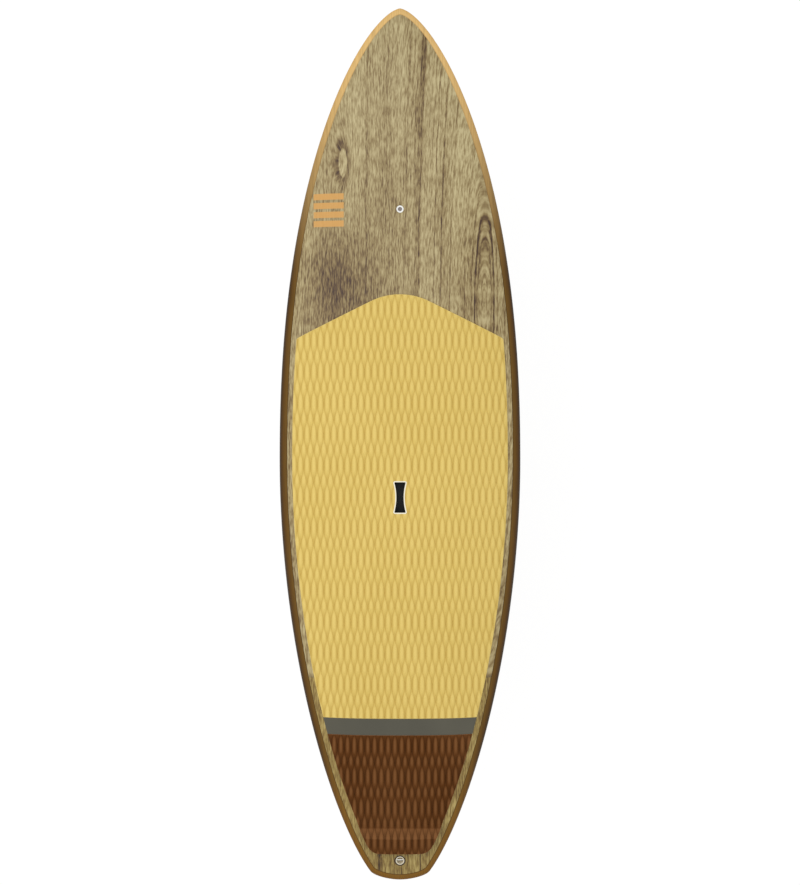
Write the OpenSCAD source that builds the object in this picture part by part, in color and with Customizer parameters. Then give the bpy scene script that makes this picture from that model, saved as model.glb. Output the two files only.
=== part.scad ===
// Stand up paddleboard: foam core on a stringer, wrapped rails, wood veneer skins,
// traction pads with a tail kick, handle recess, vent, leash plug and five fin boxes.
// The board lies deck up. Nose towards +Y, the middle of its length at Y = 0,
// the flat of the bottom at Z = 0. Millimetres.

/* [Board] */
// Length from nose to tail
board_l = 2616; // [2000:1:3400]
// Width at the widest point
board_w = 740; // [600:1:900]
// Thickness at the thickest point
board_t = 112; // [90:1:145]
// Widest point, ahead of the middle
wide_ahead = -26; // [-150:1:150]
// Thickest point, ahead of the middle
thick_ahead = -74; // [-150:1:150]

/* [Outline] */
// How late the nose curve turns in: higher stays wide for longer
nose_run = 2.27; // [1.6:0.01:3]
// How blunt the nose is: lower is blunter
nose_point = 0.652; // [0.45:0.001:0.9]
// How late the tail curve turns in
tail_run = 1.94; // [1.4:0.01:3]
// How blunt the tail curve is
tail_point = 0.75; // [0.5:0.01:1]
// Width of the squash tail
tail_w = 128; // [90:1:220]
// Length over which the tail corners are rounded
tail_round = 26; // [12:1:60]
// How square the tail corners are: higher is squarer
tail_square = 2.2; // [1.6:0.1:3]

/* [Rocker] */
// Rise of the nose above the flat of the bottom
nose_rocker = 180; // [60:1:260]
// Rise of the tail
tail_rocker = 60; // [20:1:110]
// Length of the dead flat part of the bottom
flat_l = 320; // [250:1:500]
// Middle of the flat, ahead of the middle of the board
flat_ahead = -100; // [-150:1:50]
// How suddenly the nose rocker starts
nose_entry = 2.4; // [1.8:0.1:3.2]
// How suddenly the tail rocker starts
tail_release = 2; // [1.6:0.1:3]

/* [Section] */
// Thickness at the very nose
nose_t = 28; // [16:1:50]
// Thickness at the very tail
tail_t = 30; // [16:1:50]
// How long the nose keeps its thickness
nose_foil = 1.6; // [1.2:0.1:3]
// How long the tail keeps its thickness
tail_foil = 2.4; // [1.4:0.1:4]
// Height of the rail's widest point, as a share of the thickness
apex_share = 0.42; // [0.3:0.01:0.5]
// Shape of the domed deck: higher is flatter with a harder rail
deck_dome = 2.6; // [2:0.1:5]
// Share of the half width that is dead flat below
belly_flat = 0.5; // [0.3:0.01:0.7]
// How late the bottom turns up into the rail
belly_turn = 6; // [3:0.5:9]

/* [Skins and rails] */
// Thickness of the deck veneer with its glass
deck_skin = 1.4; // [0.8:0.1:3]
// Thickness of the bottom veneer with its glass
belly_skin = 1.4; // [0.8:0.1:3]
// Thickness of the stringer
stringer_t = 5; // [3:0.5:10]
// Rail seen from above where the board is thickest
deck_band = 26; // [20:1:34]
// Rail seen from above at the nose and tail
deck_band_end = 17; // [12:1:20]
// Rail seen from below where the board is thickest
belly_band = 15; // [10:1:20]
// Rail seen from below at the nose and tail
belly_band_end = 8; // [5:1:10]
// Joint between the two deck veneers, from the tail
deck_joint = 618; // [500:1:760]
// Joint between the two bottom veneers at the centre, from the tail
belly_joint = 612; // [520:1:760]
// How far the ends of the bottom joint lie ahead of its centre
belly_joint_v = 54; // [0:1:100]
// Distance from the centre at which that lead is measured
belly_joint_reach = 292; // [200:1:320]

/* [Pads] */
// Thickness of the traction pads
pad_t = 5; // [3:0.5:8]
// Thickness of the smooth stripe between the pads
stripe_t = 4; // [2:0.5:6]
// Bare margin between the pads and the outline
pad_margin = 42; // [36:1:60]
// Peak of the pad's front edge, from the nose
pad_peak = 834; // [760:1:1000]
// How far the front edge's shoulders lie behind its peak
pad_peak_drop = 125; // [60:1:200]
// Half width of the pad at its shoulders
pad_shoulder = 320; // [240:1:330]
// Radius of the front edge's peak
peak_r = 200; // [20:1:400]
// Radius of its shoulders
shoulder_r = 24; // [8:1:40]
// Front of the stripe, from the tail
stripe_front = 499; // [440:1:600]
// Width of the stripe
stripe_w = 51; // [20:1:80]
// Rear edge of the tail pad, from the tail
pad_rear = 92; // [84:1:130]
// Half width of that edge between its round corners
pad_rear_half = 62; // [40:1:80]
// Radius of those corners
pad_rear_r = 40; // [10:1:50]
// Foot of the kick's ramp, from the tail
ramp_foot = 169; // [150:1:200]
// Length of the ramp seen from above
ramp_l = 29; // [15:1:45]
// Height of the kick's foam wedge
kick_h = 22; // [10:1:35]

/* [Handle] */
// Middle of the handle, from the tail
handle_at = 1168; // [1000:1:1400]
// Length of the handle's bezel
handle_l = 99; // [80:1:130]
// Width of its ends
handle_w = 41; // [34:1:60]
// Width of its waist
handle_waist = 29; // [24:1:33]
// Width of the bezel
bezel_w = 3.5; // [2:0.5:6]
// Corner radius of the bezel
handle_r = 6; // [4:0.5:10]
// Depth of the hand recess below the deck
handle_depth = 42; // [30:1:60]
// Wall of the recess
cup_wall = 2.5; // [1.5:0.5:4]
// Thickness of the lip that the fingers hook under
lip_t = 4; // [3:0.5:8]

/* [Vent] */
// Middle of the vent, from the nose
vent_at = 578; // [480:1:700]
// Diameter of the vent's flange
vent_d = 21.6; // [18:0.1:30]
// Thickness of the flange
vent_flange_t = 2.6; // [1.5:0.1:4]
// Diameter of its body below the flange
vent_body_d = 17.6; // [16.6:0.1:20]
// Length of the bore for the screw's shank
vent_bore_l = 12; // [8:0.5:18]
// Thickness of the body's floor below the bore
vent_floor = 3; // [2:0.5:5]
// Diameter of the air hole through that floor
air_hole_d = 6; // [3:0.5:7]
// Thickness of the membrane over the air hole
membrane_t = 0.4; // [0.2:0.1:1]
// Width of the membrane's rim around the air hole
membrane_rim = 2; // [1:0.5:2.5]
// Diameter of the screw's head
vent_head_d = 12.4; // [11:0.1:13]
// Thickness of the head
head_t = 3; // [2:0.1:4]
// How far the head is sunk below the flange
head_sunk = 0.2; // [0.1:0.1:1]
// Width of the coin slot in the head
coin_slot_w = 2; // [1.2:0.1:3]
// Depth of the coin slot
coin_slot_deep = 1.6; // [1:0.1:1.8]
// Diameter of the two bleed holes beside the shank
bleed_d = 1.6; // [0.8:0.1:1.8]
// Diameter of the screw's shank
vent_shank_d = 8; // [6:0.1:8]
// Cord diameter of the seal ring
seal_cord = 1.8; // [1.2:0.1:2]

/* [Leash plug] */
// Middle of the leash plug, from the tail
leash_at = 63.5; // [60:0.5:75]
// Outer diameter of the plug's collar
collar_d = 32.6; // [28:0.1:38]
// Thickness of the collar
collar_deep = 3; // [2:0.5:5]
// Diameter of the plug
plug_d = 26; // [22:0.1:27]
// Depth of the plug
plug_depth = 21; // [16:1:26]
// Diameter of the well for the leash string
well_d = 20.5; // [16:0.5:21]
// Depth of the well
well_depth = 16; // [12:1:18]
// Diameter of the leash pin
pin_d = 5; // [3:0.5:6]
// Depth of the pin's middle
pin_deep = 7; // [5:0.5:9]
// Length of each end of the pin inside the plug's wall
pin_seat = 2; // [1:0.5:2]

/* [Fin boxes] */
// Width of a fin box
box_w = 32; // [26:1:38]
// Thickness of its flange
flange_t = 3; // [2:0.5:5]
// Depth of the whole box
box_depth = 24; // [18:1:28]
// How much narrower the body is than the flange, on each side
flange_lip = 5; // [3:0.5:6]
// Length of the fin slot
slot_l = 107; // [80:1:130]
// Solid length of the box beyond each end of the slot
slot_end = 19; // [15:1:25]
// Width of the fin slot
slot_w = 6.6; // [5:0.1:9]
// Depth of the fin slot
slot_depth = 19; // [12:1:20]
// Distance of the slot's middle behind the middle of the box
slot_back = 2; // [0:0.5:4]
// Distance of the fin screw ahead of the slot
screw_lead = 5.5; // [4:0.5:7]
// Diameter of the fin screw
fin_screw_d = 4.9; // [3.9:0.1:5.9]
// Length of the fin screw
fin_screw_l = 10; // [6:0.5:14]
// How far the fin screw is sunk below the box's face
screw_deep = 1; // [0:0.5:3]
// Width of its hexagon socket across the corners
hex_d = 2.9; // [2.3:0.1:3.5]
// Depth of the socket
hex_deep = 3.5; // [2:0.5:5]
// Side boxes: from the tail
side_at = 439; // [380:1:520]
// Side boxes: from the outline to their middle
side_rail = 56; // [50:1:80]
// Side boxes: toe-in in degrees
side_toe = 1.7; // [0:0.1:4]
// Rear side boxes: from the tail
quad_at = 292; // [250:1:340]
// Rear side boxes: from the outline to their middle
quad_rail = 79; // [60:1:95]
// Rear side boxes: toe-in in degrees
quad_toe = 0.7; // [0:0.1:3]
// Centre box: from the tail
centre_at = 247; // [230:1:300]

/* [Fits] */
// Gap around a shank that turns
running_gap = 0.05; // [0.02:0.01:0.1]
// Gap around a screw head and a seal ring
head_gap = 0.2; // [0.1:0.05:0.4]
// Gap between faces that are pulled together
seat_gap = 0.05; // [0.02:0.01:0.1]
// Bore left beyond the end of a screw
bore_spare = 2; // [1:0.5:4]
// Wall of dense foam around the handle and the vent
insert_wall = 14; // [10:1:18]
// Wall of dense foam around the leash plug's collar
leash_wall = 10.5; // [6:0.5:12]
// Wall of dense foam around a fin box
box_wall = 7; // [4:0.5:9]

/* [Hidden] */

$fn = 48;
// Rows along the board, and columns from the rail line to the centre line
rows = 48;
columns = 8;
// Facets of the rail above and below its widest point
rail_over = 5;
rail_under = 4;
// Rows fan out at the ends: where the fans meet the centre line
tail_fan = 150;
nose_fan = 200;

half_l = board_l / 2;
half_w = board_w / 2;
flat_front = flat_ahead + flat_l / 2;
flat_back = flat_ahead - flat_l / 2;
spine_back = -half_l + tail_fan;
spine_front = half_l - nose_fan;
tall = 3 * (nose_rocker + board_t);
over = 1;
// How much closer together the columns lie at the rail
column_spread = 1.5;

// Places along the board, in the board's own Y
deck_joint_y = deck_joint - half_l;
belly_joint_y = belly_joint - half_l;
pad_peak_y = half_l - pad_peak;
stripe_front_y = stripe_front - half_l;
stripe_rear_y = stripe_front_y - stripe_w;
pad_rear_y = pad_rear - half_l;
ramp_foot_y = ramp_foot - half_l;
handle_y = handle_at - half_l;
vent_y = half_l - vent_at;
leash_y = leash_at - half_l;
side_out = outline_x(side_at - half_l) - side_rail;
quad_out = outline_x(quad_at - half_l) - quad_rail;
box_l = slot_l + 2 * slot_end;
screw_ahead = slot_l / 2 - slot_back + screw_lead;

// ---- The board's surface ----

function share(a, from, to) = min(1, max(0, (a - from) / (to - from)));
function blend(a, b, t) = a + (b - a) * t;

// Half width of the outline
function nose_half(y) =
    half_w * pow(1 - pow(share(y, wide_ahead, half_l), nose_run), nose_point);
function tail_half(y) =
    blend(tail_w / 2, half_w,
          pow(1 - pow(share(-y, -wide_ahead, half_l), tail_run), tail_point));
function tail_corner(y) =
    sqrt(1 - pow(1 - share(y, -half_l, tail_round - half_l), tail_square));
function outline_x(y) =
    y > wide_ahead ? nose_half(y) : tail_half(y) * tail_corner(y);

// Height of the bottom along the centre line
function rocker_z(y) =
    y > flat_front
        ? nose_rocker * pow((y - flat_front) / (half_l - flat_front), nose_entry)
    : y < flat_back
        ? tail_rocker * pow((flat_back - y) / (flat_back + half_l), tail_release)
    : 0;

// Thickness along the centre line
function foil_t(y) =
    y > thick_ahead
        ? blend(board_t, nose_t, pow(share(y, thick_ahead, half_l), nose_foil))
        : blend(board_t, tail_t, pow(share(-y, -thick_ahead, half_l), tail_foil));

// Share of the height above the rail's widest point that the dome reaches,
// and share of the height below it that the bottom has turned up.
// inward runs from 0 on the outline to 1 on the centre line.
function dome(inward) = sqrt(1 - pow(1 - inward, deck_dome));
function turn_up(inward) =
    1 - sqrt(1 - pow(share(1 - inward, belly_flat, 1), belly_turn));

// A row starts on the outline and ends on the centre line
function row_y(i) = -half_l * cos(180 * i / rows);
function row_x(i) = i == 0 || i == rows ? 0 : outline_x(row_y(i));
function spine_y(i) = blend(spine_back, spine_front, share(row_y(i), -half_l, half_l));
function row_len(i) = norm([row_x(i), row_y(i) - spine_y(i)]);
function plan(i, inward) =
    [row_x(i) * (1 - inward), blend(row_y(i), spine_y(i), inward)];

// Deck and bottom points of a row, raised by lift
function deck_point(i, inward, lift) =
    let (p = plan(i, inward))
    [p[0], p[1], rocker_z(p[1]) + lift
        + foil_t(p[1]) * blend(apex_share, 1, dome(inward))];
function belly_point(i, inward, lift) =
    let (p = plan(i, inward))
    [p[0], p[1], rocker_z(p[1]) + lift + foil_t(p[1]) * apex_share * turn_up(inward)];

// Width of the rail bands follows the thickness
function thickness_share(i) = share(foil_t(spine_y(i)), (nose_t + tail_t) / 2, board_t);
function deck_line(i) = blend(deck_band_end, deck_band, thickness_share(i)) / row_len(i);
function belly_line(i) = blend(belly_band_end, belly_band, thickness_share(i)) / row_len(i);
function pad_line(i) = pad_margin / row_len(i);

// Columns: the rail line, the pad line, then wider steps to the centre line
function deck_column(i, c) =
    c == 0 ? deck_line(i)
           : blend(pad_line(i), 1, pow((c - 1) / (columns - 1), column_spread));
function belly_column(i, c) = blend(belly_line(i), 1, pow(c / columns, column_spread));

// Height and slope on the centre line of the deck, and under a fin box
function centre_deck_z(y) =
    rocker_z(y) + foil_t(y) * blend(apex_share, 1, dome(share(y, -half_l, spine_back)));
function belly_z(x, y) =
    rocker_z(y) + foil_t(y) * apex_share * turn_up(1 - x / outline_x(y));
function slope(low, high, run) = atan((high - low) / run);

// ---- Sheets and blanks ----

// A closed solid between two lists of rows of points. Each row runs from the
// right edge to the centre line and is mirrored to the left edge.
// A shut end has no width: its left points are its right points.
module sheet(upper, lower, tail_shut, nose_shut) {
    last = len(upper) - 1;
    mid = len(upper[0]) - 1;
    across = 2 * mid + 1;
    count = (last + 1) * across;
    function whole(row) = [
        for (c = [0 : 2 * mid])
            c <= mid ? row[c]
                     : [-row[2 * mid - c][0], row[2 * mid - c][1], row[2 * mid - c][2]]
    ];
    function folded(r) = (tail_shut && r == 0) || (nose_shut && r == last);
    function top(r, c) = r * across + (folded(r) && c > mid ? 2 * mid - c : c);
    function low(r, c) = count + top(r, c);
    function strip(a, b, c, d, from_a) =
        from_a ? [[a, b, c], [a, c, d]] : [[a, b, d], [b, c, d]];
    // Diagonals mirror at the centre line, and swap in a shut tail, where they
    // would otherwise lie along that line
    function leans(r, c) = tail_shut && r == 0 ? c >= mid : c < mid;
    faces = [
        for (r = [0 : last - 1]) for (c = [0 : 2 * mid - 1])
            each concat(
                strip(top(r, c), top(r, c + 1), top(r + 1, c + 1), top(r + 1, c),
                      leans(r, c)),
                strip(low(r, c + 1), low(r, c), low(r + 1, c), low(r + 1, c + 1),
                      !leans(r, c))),
        for (r = [0 : last - 1])
            each [
                [top(r, 0), top(r + 1, 0), low(r + 1, 0)],
                [top(r, 0), low(r + 1, 0), low(r, 0)],
                [top(r + 1, 2 * mid), top(r, 2 * mid), low(r + 1, 2 * mid)],
                [top(r, 2 * mid), low(r, 2 * mid), low(r + 1, 2 * mid)]
            ],
        if (!tail_shut) for (c = [0 : 2 * mid - 1])
            each strip(top(0, c + 1), top(0, c), low(0, c), low(0, c + 1), true),
        if (!nose_shut) for (c = [0 : 2 * mid - 1])
            each strip(top(last, c), top(last, c + 1), low(last, c + 1), low(last, c),
                       true)
    ];
    polyhedron(
        points = concat([for (row = upper) each whole(row)],
                        [for (row = lower) each whole(row)]),
        faces = faces, convexity = 6);
}

// Layer on the deck between two heights above it, from a column inwards
module deck_layer(low, high, first_column = 0, from_row = 0, to_row = rows) {
    sheet(
        [for (i = [from_row : to_row])
            [for (c = [first_column : columns]) deck_point(i, deck_column(i, c), high)]],
        [for (i = [from_row : to_row])
            [for (c = [first_column : columns]) deck_point(i, deck_column(i, c), low)]],
        from_row == 0, to_row == rows);
}

// Layer on the bottom
module belly_layer(low, high) {
    sheet(
        [for (i = [0 : rows])
            [for (c = [0 : columns]) belly_point(i, belly_column(i, c), high)]],
        [for (i = [0 : rows])
            [for (c = [0 : columns]) belly_point(i, belly_column(i, c), low)]],
        true, true);
}

// What lies between the skins and inside the rails
module core(from_row = 0, to_row = rows) {
    sheet(
        [for (i = [from_row : to_row])
            [for (c = [0 : columns])
                deck_point(i, deck_column(i, c), -deck_skin)]],
        [for (i = [from_row : to_row])
            [for (c = [0 : columns])
                belly_point(i, belly_column(i, c), belly_skin)]],
        from_row == 0, to_row == rows);
}

// Last row whose whole length lies ahead of y, and first one wholly behind it
function row_ahead(y) = min([for (i = [0 : rows]) if (min(row_y(i), spine_y(i)) > y) i]);
function row_behind(y) = max([for (i = [0 : rows]) if (max(row_y(i), spine_y(i)) < y) i]);

module ahead_of(y) {
    translate([-board_w, y, -tall]) cube([2 * board_w, board_l, 2 * tall]);
}

module behind(y) {
    translate([-board_w, y - board_l, -tall]) cube([2 * board_w, board_l, 2 * tall]);
}

// Everything behind the shallow V where the bottom veneers meet
module behind_belly_joint() {
    reach = board_w;
    lead = belly_joint_v * reach / belly_joint_reach;
    translate([0, 0, -tall])
        linear_extrude(2 * tall)
            polygon([
                [0, belly_joint_y], [reach, belly_joint_y + lead],
                [reach, -board_l], [-reach, -board_l],
                [-reach, belly_joint_y + lead]
            ]);
}

// ---- Core, rails and skins ----

module mirrored(left) {
    if (left) mirror([1, 0, 0]) children();
    else children();
}

module foam_half(left) {
    difference() {
        intersection() {
            core();
            mirrored(left)
                translate([stringer_t / 2, -board_l, -tall])
                    cube([board_w, 2 * board_l, 2 * tall]);
        }
        all_inserts(left);
    }
}

module foam_core_left() { color("#f2f2ec") foam_half(true); }
module foam_core_right() { color("#f2f2ec") foam_half(false); }

module stringer() {
    color("#b98f57")
        difference() {
            intersection() {
                core();
                translate([-stringer_t / 2, -board_l, -tall])
                    cube([stringer_t, 2 * board_l, 2 * tall]);
            }
            handle_zone();
            vent_zone();
            leash_zone();
            fin_zone(centre_at, 0);
        }
}

// One rail, from the nose to the tail: its section runs from the deck veneer's
// edge over the widest point to the bottom veneer's edge, and back up the core.
function rail_section(i) =
    let (a = deck_line(i), b = belly_line(i))
    concat(
        [for (k = [0 : rail_over]) deck_point(i, a * pow(1 - k / rail_over, 2), 0)],
        [for (k = [1 : rail_under]) belly_point(i, b * pow(k / rail_under, 2), 0)],
        [belly_point(i, b, belly_skin), deck_point(i, a, -deck_skin)]);

module rail() {
    around = rail_over + rail_under + 3;
    function at(i, k) = i * around + k % around;
    polyhedron(
        points = [for (i = [0 : rows]) each rail_section(i)],
        faces = concat(
            [[for (k = [0 : around - 1]) at(0, k)]],
            [[for (k = [around - 1 : -1 : 0]) at(rows, k)]],
            [for (i = [0 : rows - 1]) for (k = [0 : around - 1])
                each [
                    [at(i, k), at(i + 1, k), at(i, k + 1)],
                    [at(i + 1, k), at(i + 1, k + 1), at(i, k + 1)]
                ]]),
        convexity = 4);
}

module rail_left() { color("#5a4020") mirror([1, 0, 0]) rail(); }
module rail_right() { color("#5a4020") rail(); }

module deck_veneer() {
    color("#9b8a69")
        difference() {
            deck_layer(-deck_skin, 0);
            behind(deck_joint_y);
            on_deck(vent_y) flange_hole(vent_d);
            handle_hole();
        }
}

module tail_deck_veneer() {
    color("#a3906a")
        difference() {
            intersection() {
                deck_layer(-deck_skin, 0);
                behind(deck_joint_y);
            }
            on_deck(leash_y) flange_hole(collar_d);
        }
}

module bottom_veneer() {
    color("#9c8a66")
        difference() {
            belly_layer(0, belly_skin);
            behind_belly_joint();
        }
}

module tail_bottom_veneer() {
    color("#8f7a4d")
        difference() {
            intersection() {
                belly_layer(0, belly_skin);
                behind_belly_joint();
            }
            each_fin_box() box_hole();
        }
}

// ---- Pads ----

module pad_layer(low, high, from_row = 0, to_row = rows) {
    deck_layer(low, high, 1, from_row, to_row);
}

// Outline of the pad's front: a rounded peak between two rounded shoulders
module pad_front() {
    shoulder_y = pad_peak_y - pad_peak_drop;
    full_width_y = shoulder_y - 8 * shoulder_r;
    translate([0, 0, -tall])
        linear_extrude(2 * tall)
            hull() {
                translate([0, pad_peak_y - peak_r]) circle(peak_r);
                for (side = [-1, 1])
                    translate([side * (pad_shoulder - shoulder_r),
                               shoulder_y - shoulder_r])
                        circle(shoulder_r);
                translate([-half_w, -half_l])
                    square([board_w, half_l + full_width_y]);
            }
}

module deck_pad() {
    color("#e3c56c")
        difference() {
            intersection() {
                pad_layer(0, pad_t, row_behind(stripe_front_y), row_ahead(pad_peak_y));
                pad_front();
                ahead_of(stripe_front_y);
            }
            handle_hole();
        }
}

module pad_stripe() {
    color("#5a5850")
        intersection() {
            pad_layer(0, stripe_t, row_behind(stripe_rear_y), row_ahead(stripe_front_y));
            ahead_of(stripe_rear_y);
            behind(stripe_front_y);
        }
}

// Outline of the tail pad's rear, wide ahead of its round corners
module pad_tail() {
    full_width_y = ramp_foot_y + half_w;
    translate([0, 0, -tall])
        linear_extrude(2 * tall)
            hull() {
                for (side = [-1, 1])
                    translate([side * pad_rear_half, pad_rear_y + pad_rear_r])
                        circle(pad_rear_r);
                translate([-half_w, full_width_y])
                    square([board_w, half_l]);
            }
}

// Everything behind the ramp of the kick, moved out by grow
module behind_ramp(grow) {
    foot_z = centre_deck_z(ramp_foot_y);
    steep = atan(kick_h / ramp_l);
    translate([0, ramp_foot_y, foot_z])
        rotate([-steep, 0, 0])
            translate([-board_w, -half_l, -tall])
                cube([2 * board_w, board_l, tall + grow]);
}

// The kick's foam: everything behind the ramp, from base up to the kick's height
module wedge_zone(base) {
    intersection() {
        pad_layer(base, kick_h, 0, row_ahead(ramp_foot_y + half_w));
        behind_ramp(0);
        behind(ramp_foot_y + 2 * kick_h);
    }
}

module tail_pad() {
    last = row_ahead(stripe_rear_y);
    color("#5f3719")
        difference() {
            intersection() {
                union() {
                    pad_layer(0, pad_t, 0, last);
                    intersection() {
                        pad_layer(0, kick_h + pad_t, 0, last);
                        behind_ramp(pad_t);
                    }
                }
                pad_tail();
                behind(stripe_rear_y);
            }
            wedge_zone(-over);
        }
}

module kick_wedge() {
    color("#1a191b")
        intersection() {
            wedge_zone(0);
            pad_tail();
        }
}

// ---- Handle ----

module rounded_box(w, l, r) {
    square([w - 2 * r, l], center = true);
    square([w, l - 2 * r], center = true);
    for (x = [-1, 1]) for (y = [-1, 1])
        translate([x * (w / 2 - r), y * (l / 2 - r)]) circle(r);
}

// Hourglass outline: a rounded rectangle with a round waist, shrunk by inset
module hourglass(inset) {
    bite = (handle_w - handle_waist) / 2;
    reach = handle_l / 2 - handle_r;
    bite_r = (reach * reach + bite * bite) / (2 * bite);
    difference() {
        rounded_box(handle_w - 2 * inset, handle_l - 2 * inset, handle_r - inset);
        for (side = [-1, 1])
            translate([side * (handle_waist / 2 + bite_r), 0])
                circle(bite_r + inset, $fn = 96);
    }
}

handle_z = min(centre_deck_z(handle_y - handle_l), centre_deck_z(handle_y + handle_l))
    - deck_skin - seat_gap;
cup_w = handle_w + 2 * cup_wall;
cup_l = handle_l + 2 * cup_wall;
handle_top = centre_deck_z(handle_y) + pad_t;

module handle_hole() {
    translate([0, handle_y, handle_z - over]) linear_extrude(tall) hourglass(0);
}

module handle_cup() {
    color("#141414")
        translate([0, handle_y, handle_z])
            difference() {
                translate([0, 0, -handle_depth])
                    linear_extrude(handle_depth) rounded_box(cup_w, cup_l, handle_r);
                translate([0, 0, cup_wall - handle_depth])
                    linear_extrude(handle_depth - cup_wall - lip_t)
                        rounded_box(handle_w, handle_l, handle_r - cup_wall / 2);
                translate([0, 0, -2 * lip_t])
                    linear_extrude(3 * lip_t) hourglass(bezel_w);
            }
}

module handle_bezel() {
    color("#e8e0cc")
        translate([0, handle_y, handle_z])
            linear_extrude(handle_top - handle_z)
                difference() {
                    hourglass(0);
                    hourglass(bezel_w);
                }
}

module handle_zone() {
    translate([0, handle_y, handle_z - handle_depth - insert_wall])
        linear_extrude(tall)
            rounded_box(cup_w + 2 * insert_wall, cup_l + 2 * insert_wall,
                        handle_r + insert_wall);
}

module handle_insert() {
    color("#d9c48a")
        difference() {
            intersection() {
                core(row_behind(handle_y - cup_l), row_ahead(handle_y + cup_l));
                handle_zone();
            }
            translate([0, handle_y, handle_z - handle_depth])
                linear_extrude(tall) rounded_box(cup_w, cup_l, handle_r);
        }
}

// ---- Vent ----

counter_deep = head_sunk + head_t + seal_cord + 2 * seat_gap;
vent_body_l = counter_deep + vent_bore_l + vent_floor;

// Stands a piece on the deck's centre line, square to the deck
module on_deck(y) {
    step = 10;
    tilt = slope(centre_deck_z(y - step), centre_deck_z(y + step), 2 * step);
    translate([0, y, centre_deck_z(y)]) rotate([tilt, 0, 0]) children();
}

module flange_hole(d) {
    translate([0, 0, -4 * deck_skin]) cylinder(d = d, h = 8 * deck_skin);
}

module vent_outer() {
    translate([0, 0, -vent_flange_t]) cylinder(d = vent_d, h = vent_flange_t);
    translate([0, 0, -vent_body_l]) cylinder(d = vent_body_d, h = vent_body_l);
}

module vent_body() {
    color("#f0f0ee")
        on_deck(vent_y)
            difference() {
                vent_outer();
                translate([0, 0, -counter_deep])
                    cylinder(d = vent_head_d + 2 * head_gap, h = counter_deep + over);
                translate([0, 0, -counter_deep - vent_bore_l])
                    cylinder(d = vent_shank_d + 2 * running_gap, h = vent_bore_l + over);
                translate([0, 0, -vent_body_l - over])
                    cylinder(d = air_hole_d, h = vent_floor + 2 * over);
                translate([0, 0, -vent_body_l - over])
                    cylinder(d = air_hole_d + 2 * membrane_rim, h = membrane_t + over);
            }
}

module vent_screw() {
    shank_l = seal_cord + 2 * seat_gap + vent_bore_l - bore_spare;
    bleed_at = (vent_shank_d + vent_head_d) / 4;
    color("#8b8f94")
        on_deck(vent_y)
            translate([0, 0, -head_sunk - head_t])
                difference() {
                    union() {
                        cylinder(d = vent_head_d, h = head_t);
                        translate([0, 0, -shank_l])
                            cylinder(d = vent_shank_d, h = shank_l + over);
                    }
                    translate([-vent_head_d, -coin_slot_w / 2, head_t - coin_slot_deep])
                        cube([2 * vent_head_d, coin_slot_w, 2 * coin_slot_deep]);
                    for (side = [-1, 1])
                        translate([side * bleed_at, 0, -over])
                            cylinder(d = bleed_d, h = head_t + 2 * over);
                }
}

module vent_seal() {
    ring_r = vent_shank_d / 2 + running_gap + seal_cord / 2;
    color("#202020")
        on_deck(vent_y)
            translate([0, 0, -counter_deep + seat_gap + seal_cord / 2])
                rotate_extrude() translate([ring_r, 0]) circle(d = seal_cord, $fn = 24);
}

module vent_membrane() {
    color("#fafafa")
        on_deck(vent_y)
            translate([0, 0, -vent_body_l])
                cylinder(d = air_hole_d + 2 * membrane_rim, h = membrane_t);
}

module vent_zone() {
    on_deck(vent_y)
        translate([0, 0, -vent_body_l - insert_wall])
            cylinder(d = vent_d + 2 * insert_wall, h = tall / 2);
}

module vent_insert() {
    color("#d9c48a")
        difference() {
            intersection() {
                core(row_behind(vent_y - 2 * vent_d), row_ahead(vent_y + 2 * vent_d));
                vent_zone();
            }
            on_deck(vent_y) vent_outer();
        }
}

// ---- Leash plug ----

module plug_outer() {
    translate([0, 0, -plug_depth]) cylinder(d = plug_d, h = plug_depth);
}

module leash_rod(end) {
    translate([0, 0, -pin_deep])
        rotate([0, 90, 0])
            cylinder(d = pin_d, h = well_d + 2 * end, center = true, $fn = 32);
}

module leash_plug() {
    color("#e9e4d6")
        on_deck(leash_y)
            difference() {
                plug_outer();
                translate([0, 0, -well_depth])
                    cylinder(d = well_d, h = well_depth + over);
                leash_rod(pin_seat);
            }
}

module leash_pin() {
    color("#c8c8c4") on_deck(leash_y) leash_rod(pin_seat);
}

module leash_collar() {
    color("#2b2118")
        on_deck(leash_y)
            translate([0, 0, -collar_deep])
                difference() {
                    cylinder(d = collar_d, h = collar_deep);
                    translate([0, 0, -over]) cylinder(d = plug_d, h = collar_deep + 2 * over);
                }
}

module leash_zone() {
    on_deck(leash_y)
        translate([0, 0, -tall / 2])
            cylinder(d = collar_d + 2 * leash_wall, h = tall);
}

module leash_insert() {
    color("#d9c48a")
        difference() {
            intersection() {
                core(0, row_ahead(leash_y + tail_fan));
                leash_zone();
            }
            on_deck(leash_y) {
                plug_outer();
                translate([0, 0, -collar_deep]) cylinder(d = collar_d, h = tall);
            }
        }
}

// ---- Fin boxes ----

// A box's face goes through the bottom at both ends of the box
module on_belly(at, out, toe) {
    y = at - half_l;
    rear_z = belly_z(out, y - box_l / 2);
    front_z = belly_z(out, y + box_l / 2);
    translate([out, y, (rear_z + front_z) / 2])
        rotate([slope(rear_z, front_z, box_l), 0, 0])
            rotate([0, 0, toe])
                children();
}

module stadium(w, l) {
    square([w, l - w], center = true);
    for (side = [-1, 1]) translate([0, side * (l - w) / 2]) circle(d = w);
}

module box_outer() {
    linear_extrude(flange_t) stadium(box_w, box_l);
    linear_extrude(box_depth) stadium(box_w - 2 * flange_lip, box_l - 2 * flange_lip);
}

module box_hole() {
    translate([0, 0, -2 * flange_t]) linear_extrude(4 * flange_t) stadium(box_w, box_l);
}

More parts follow.
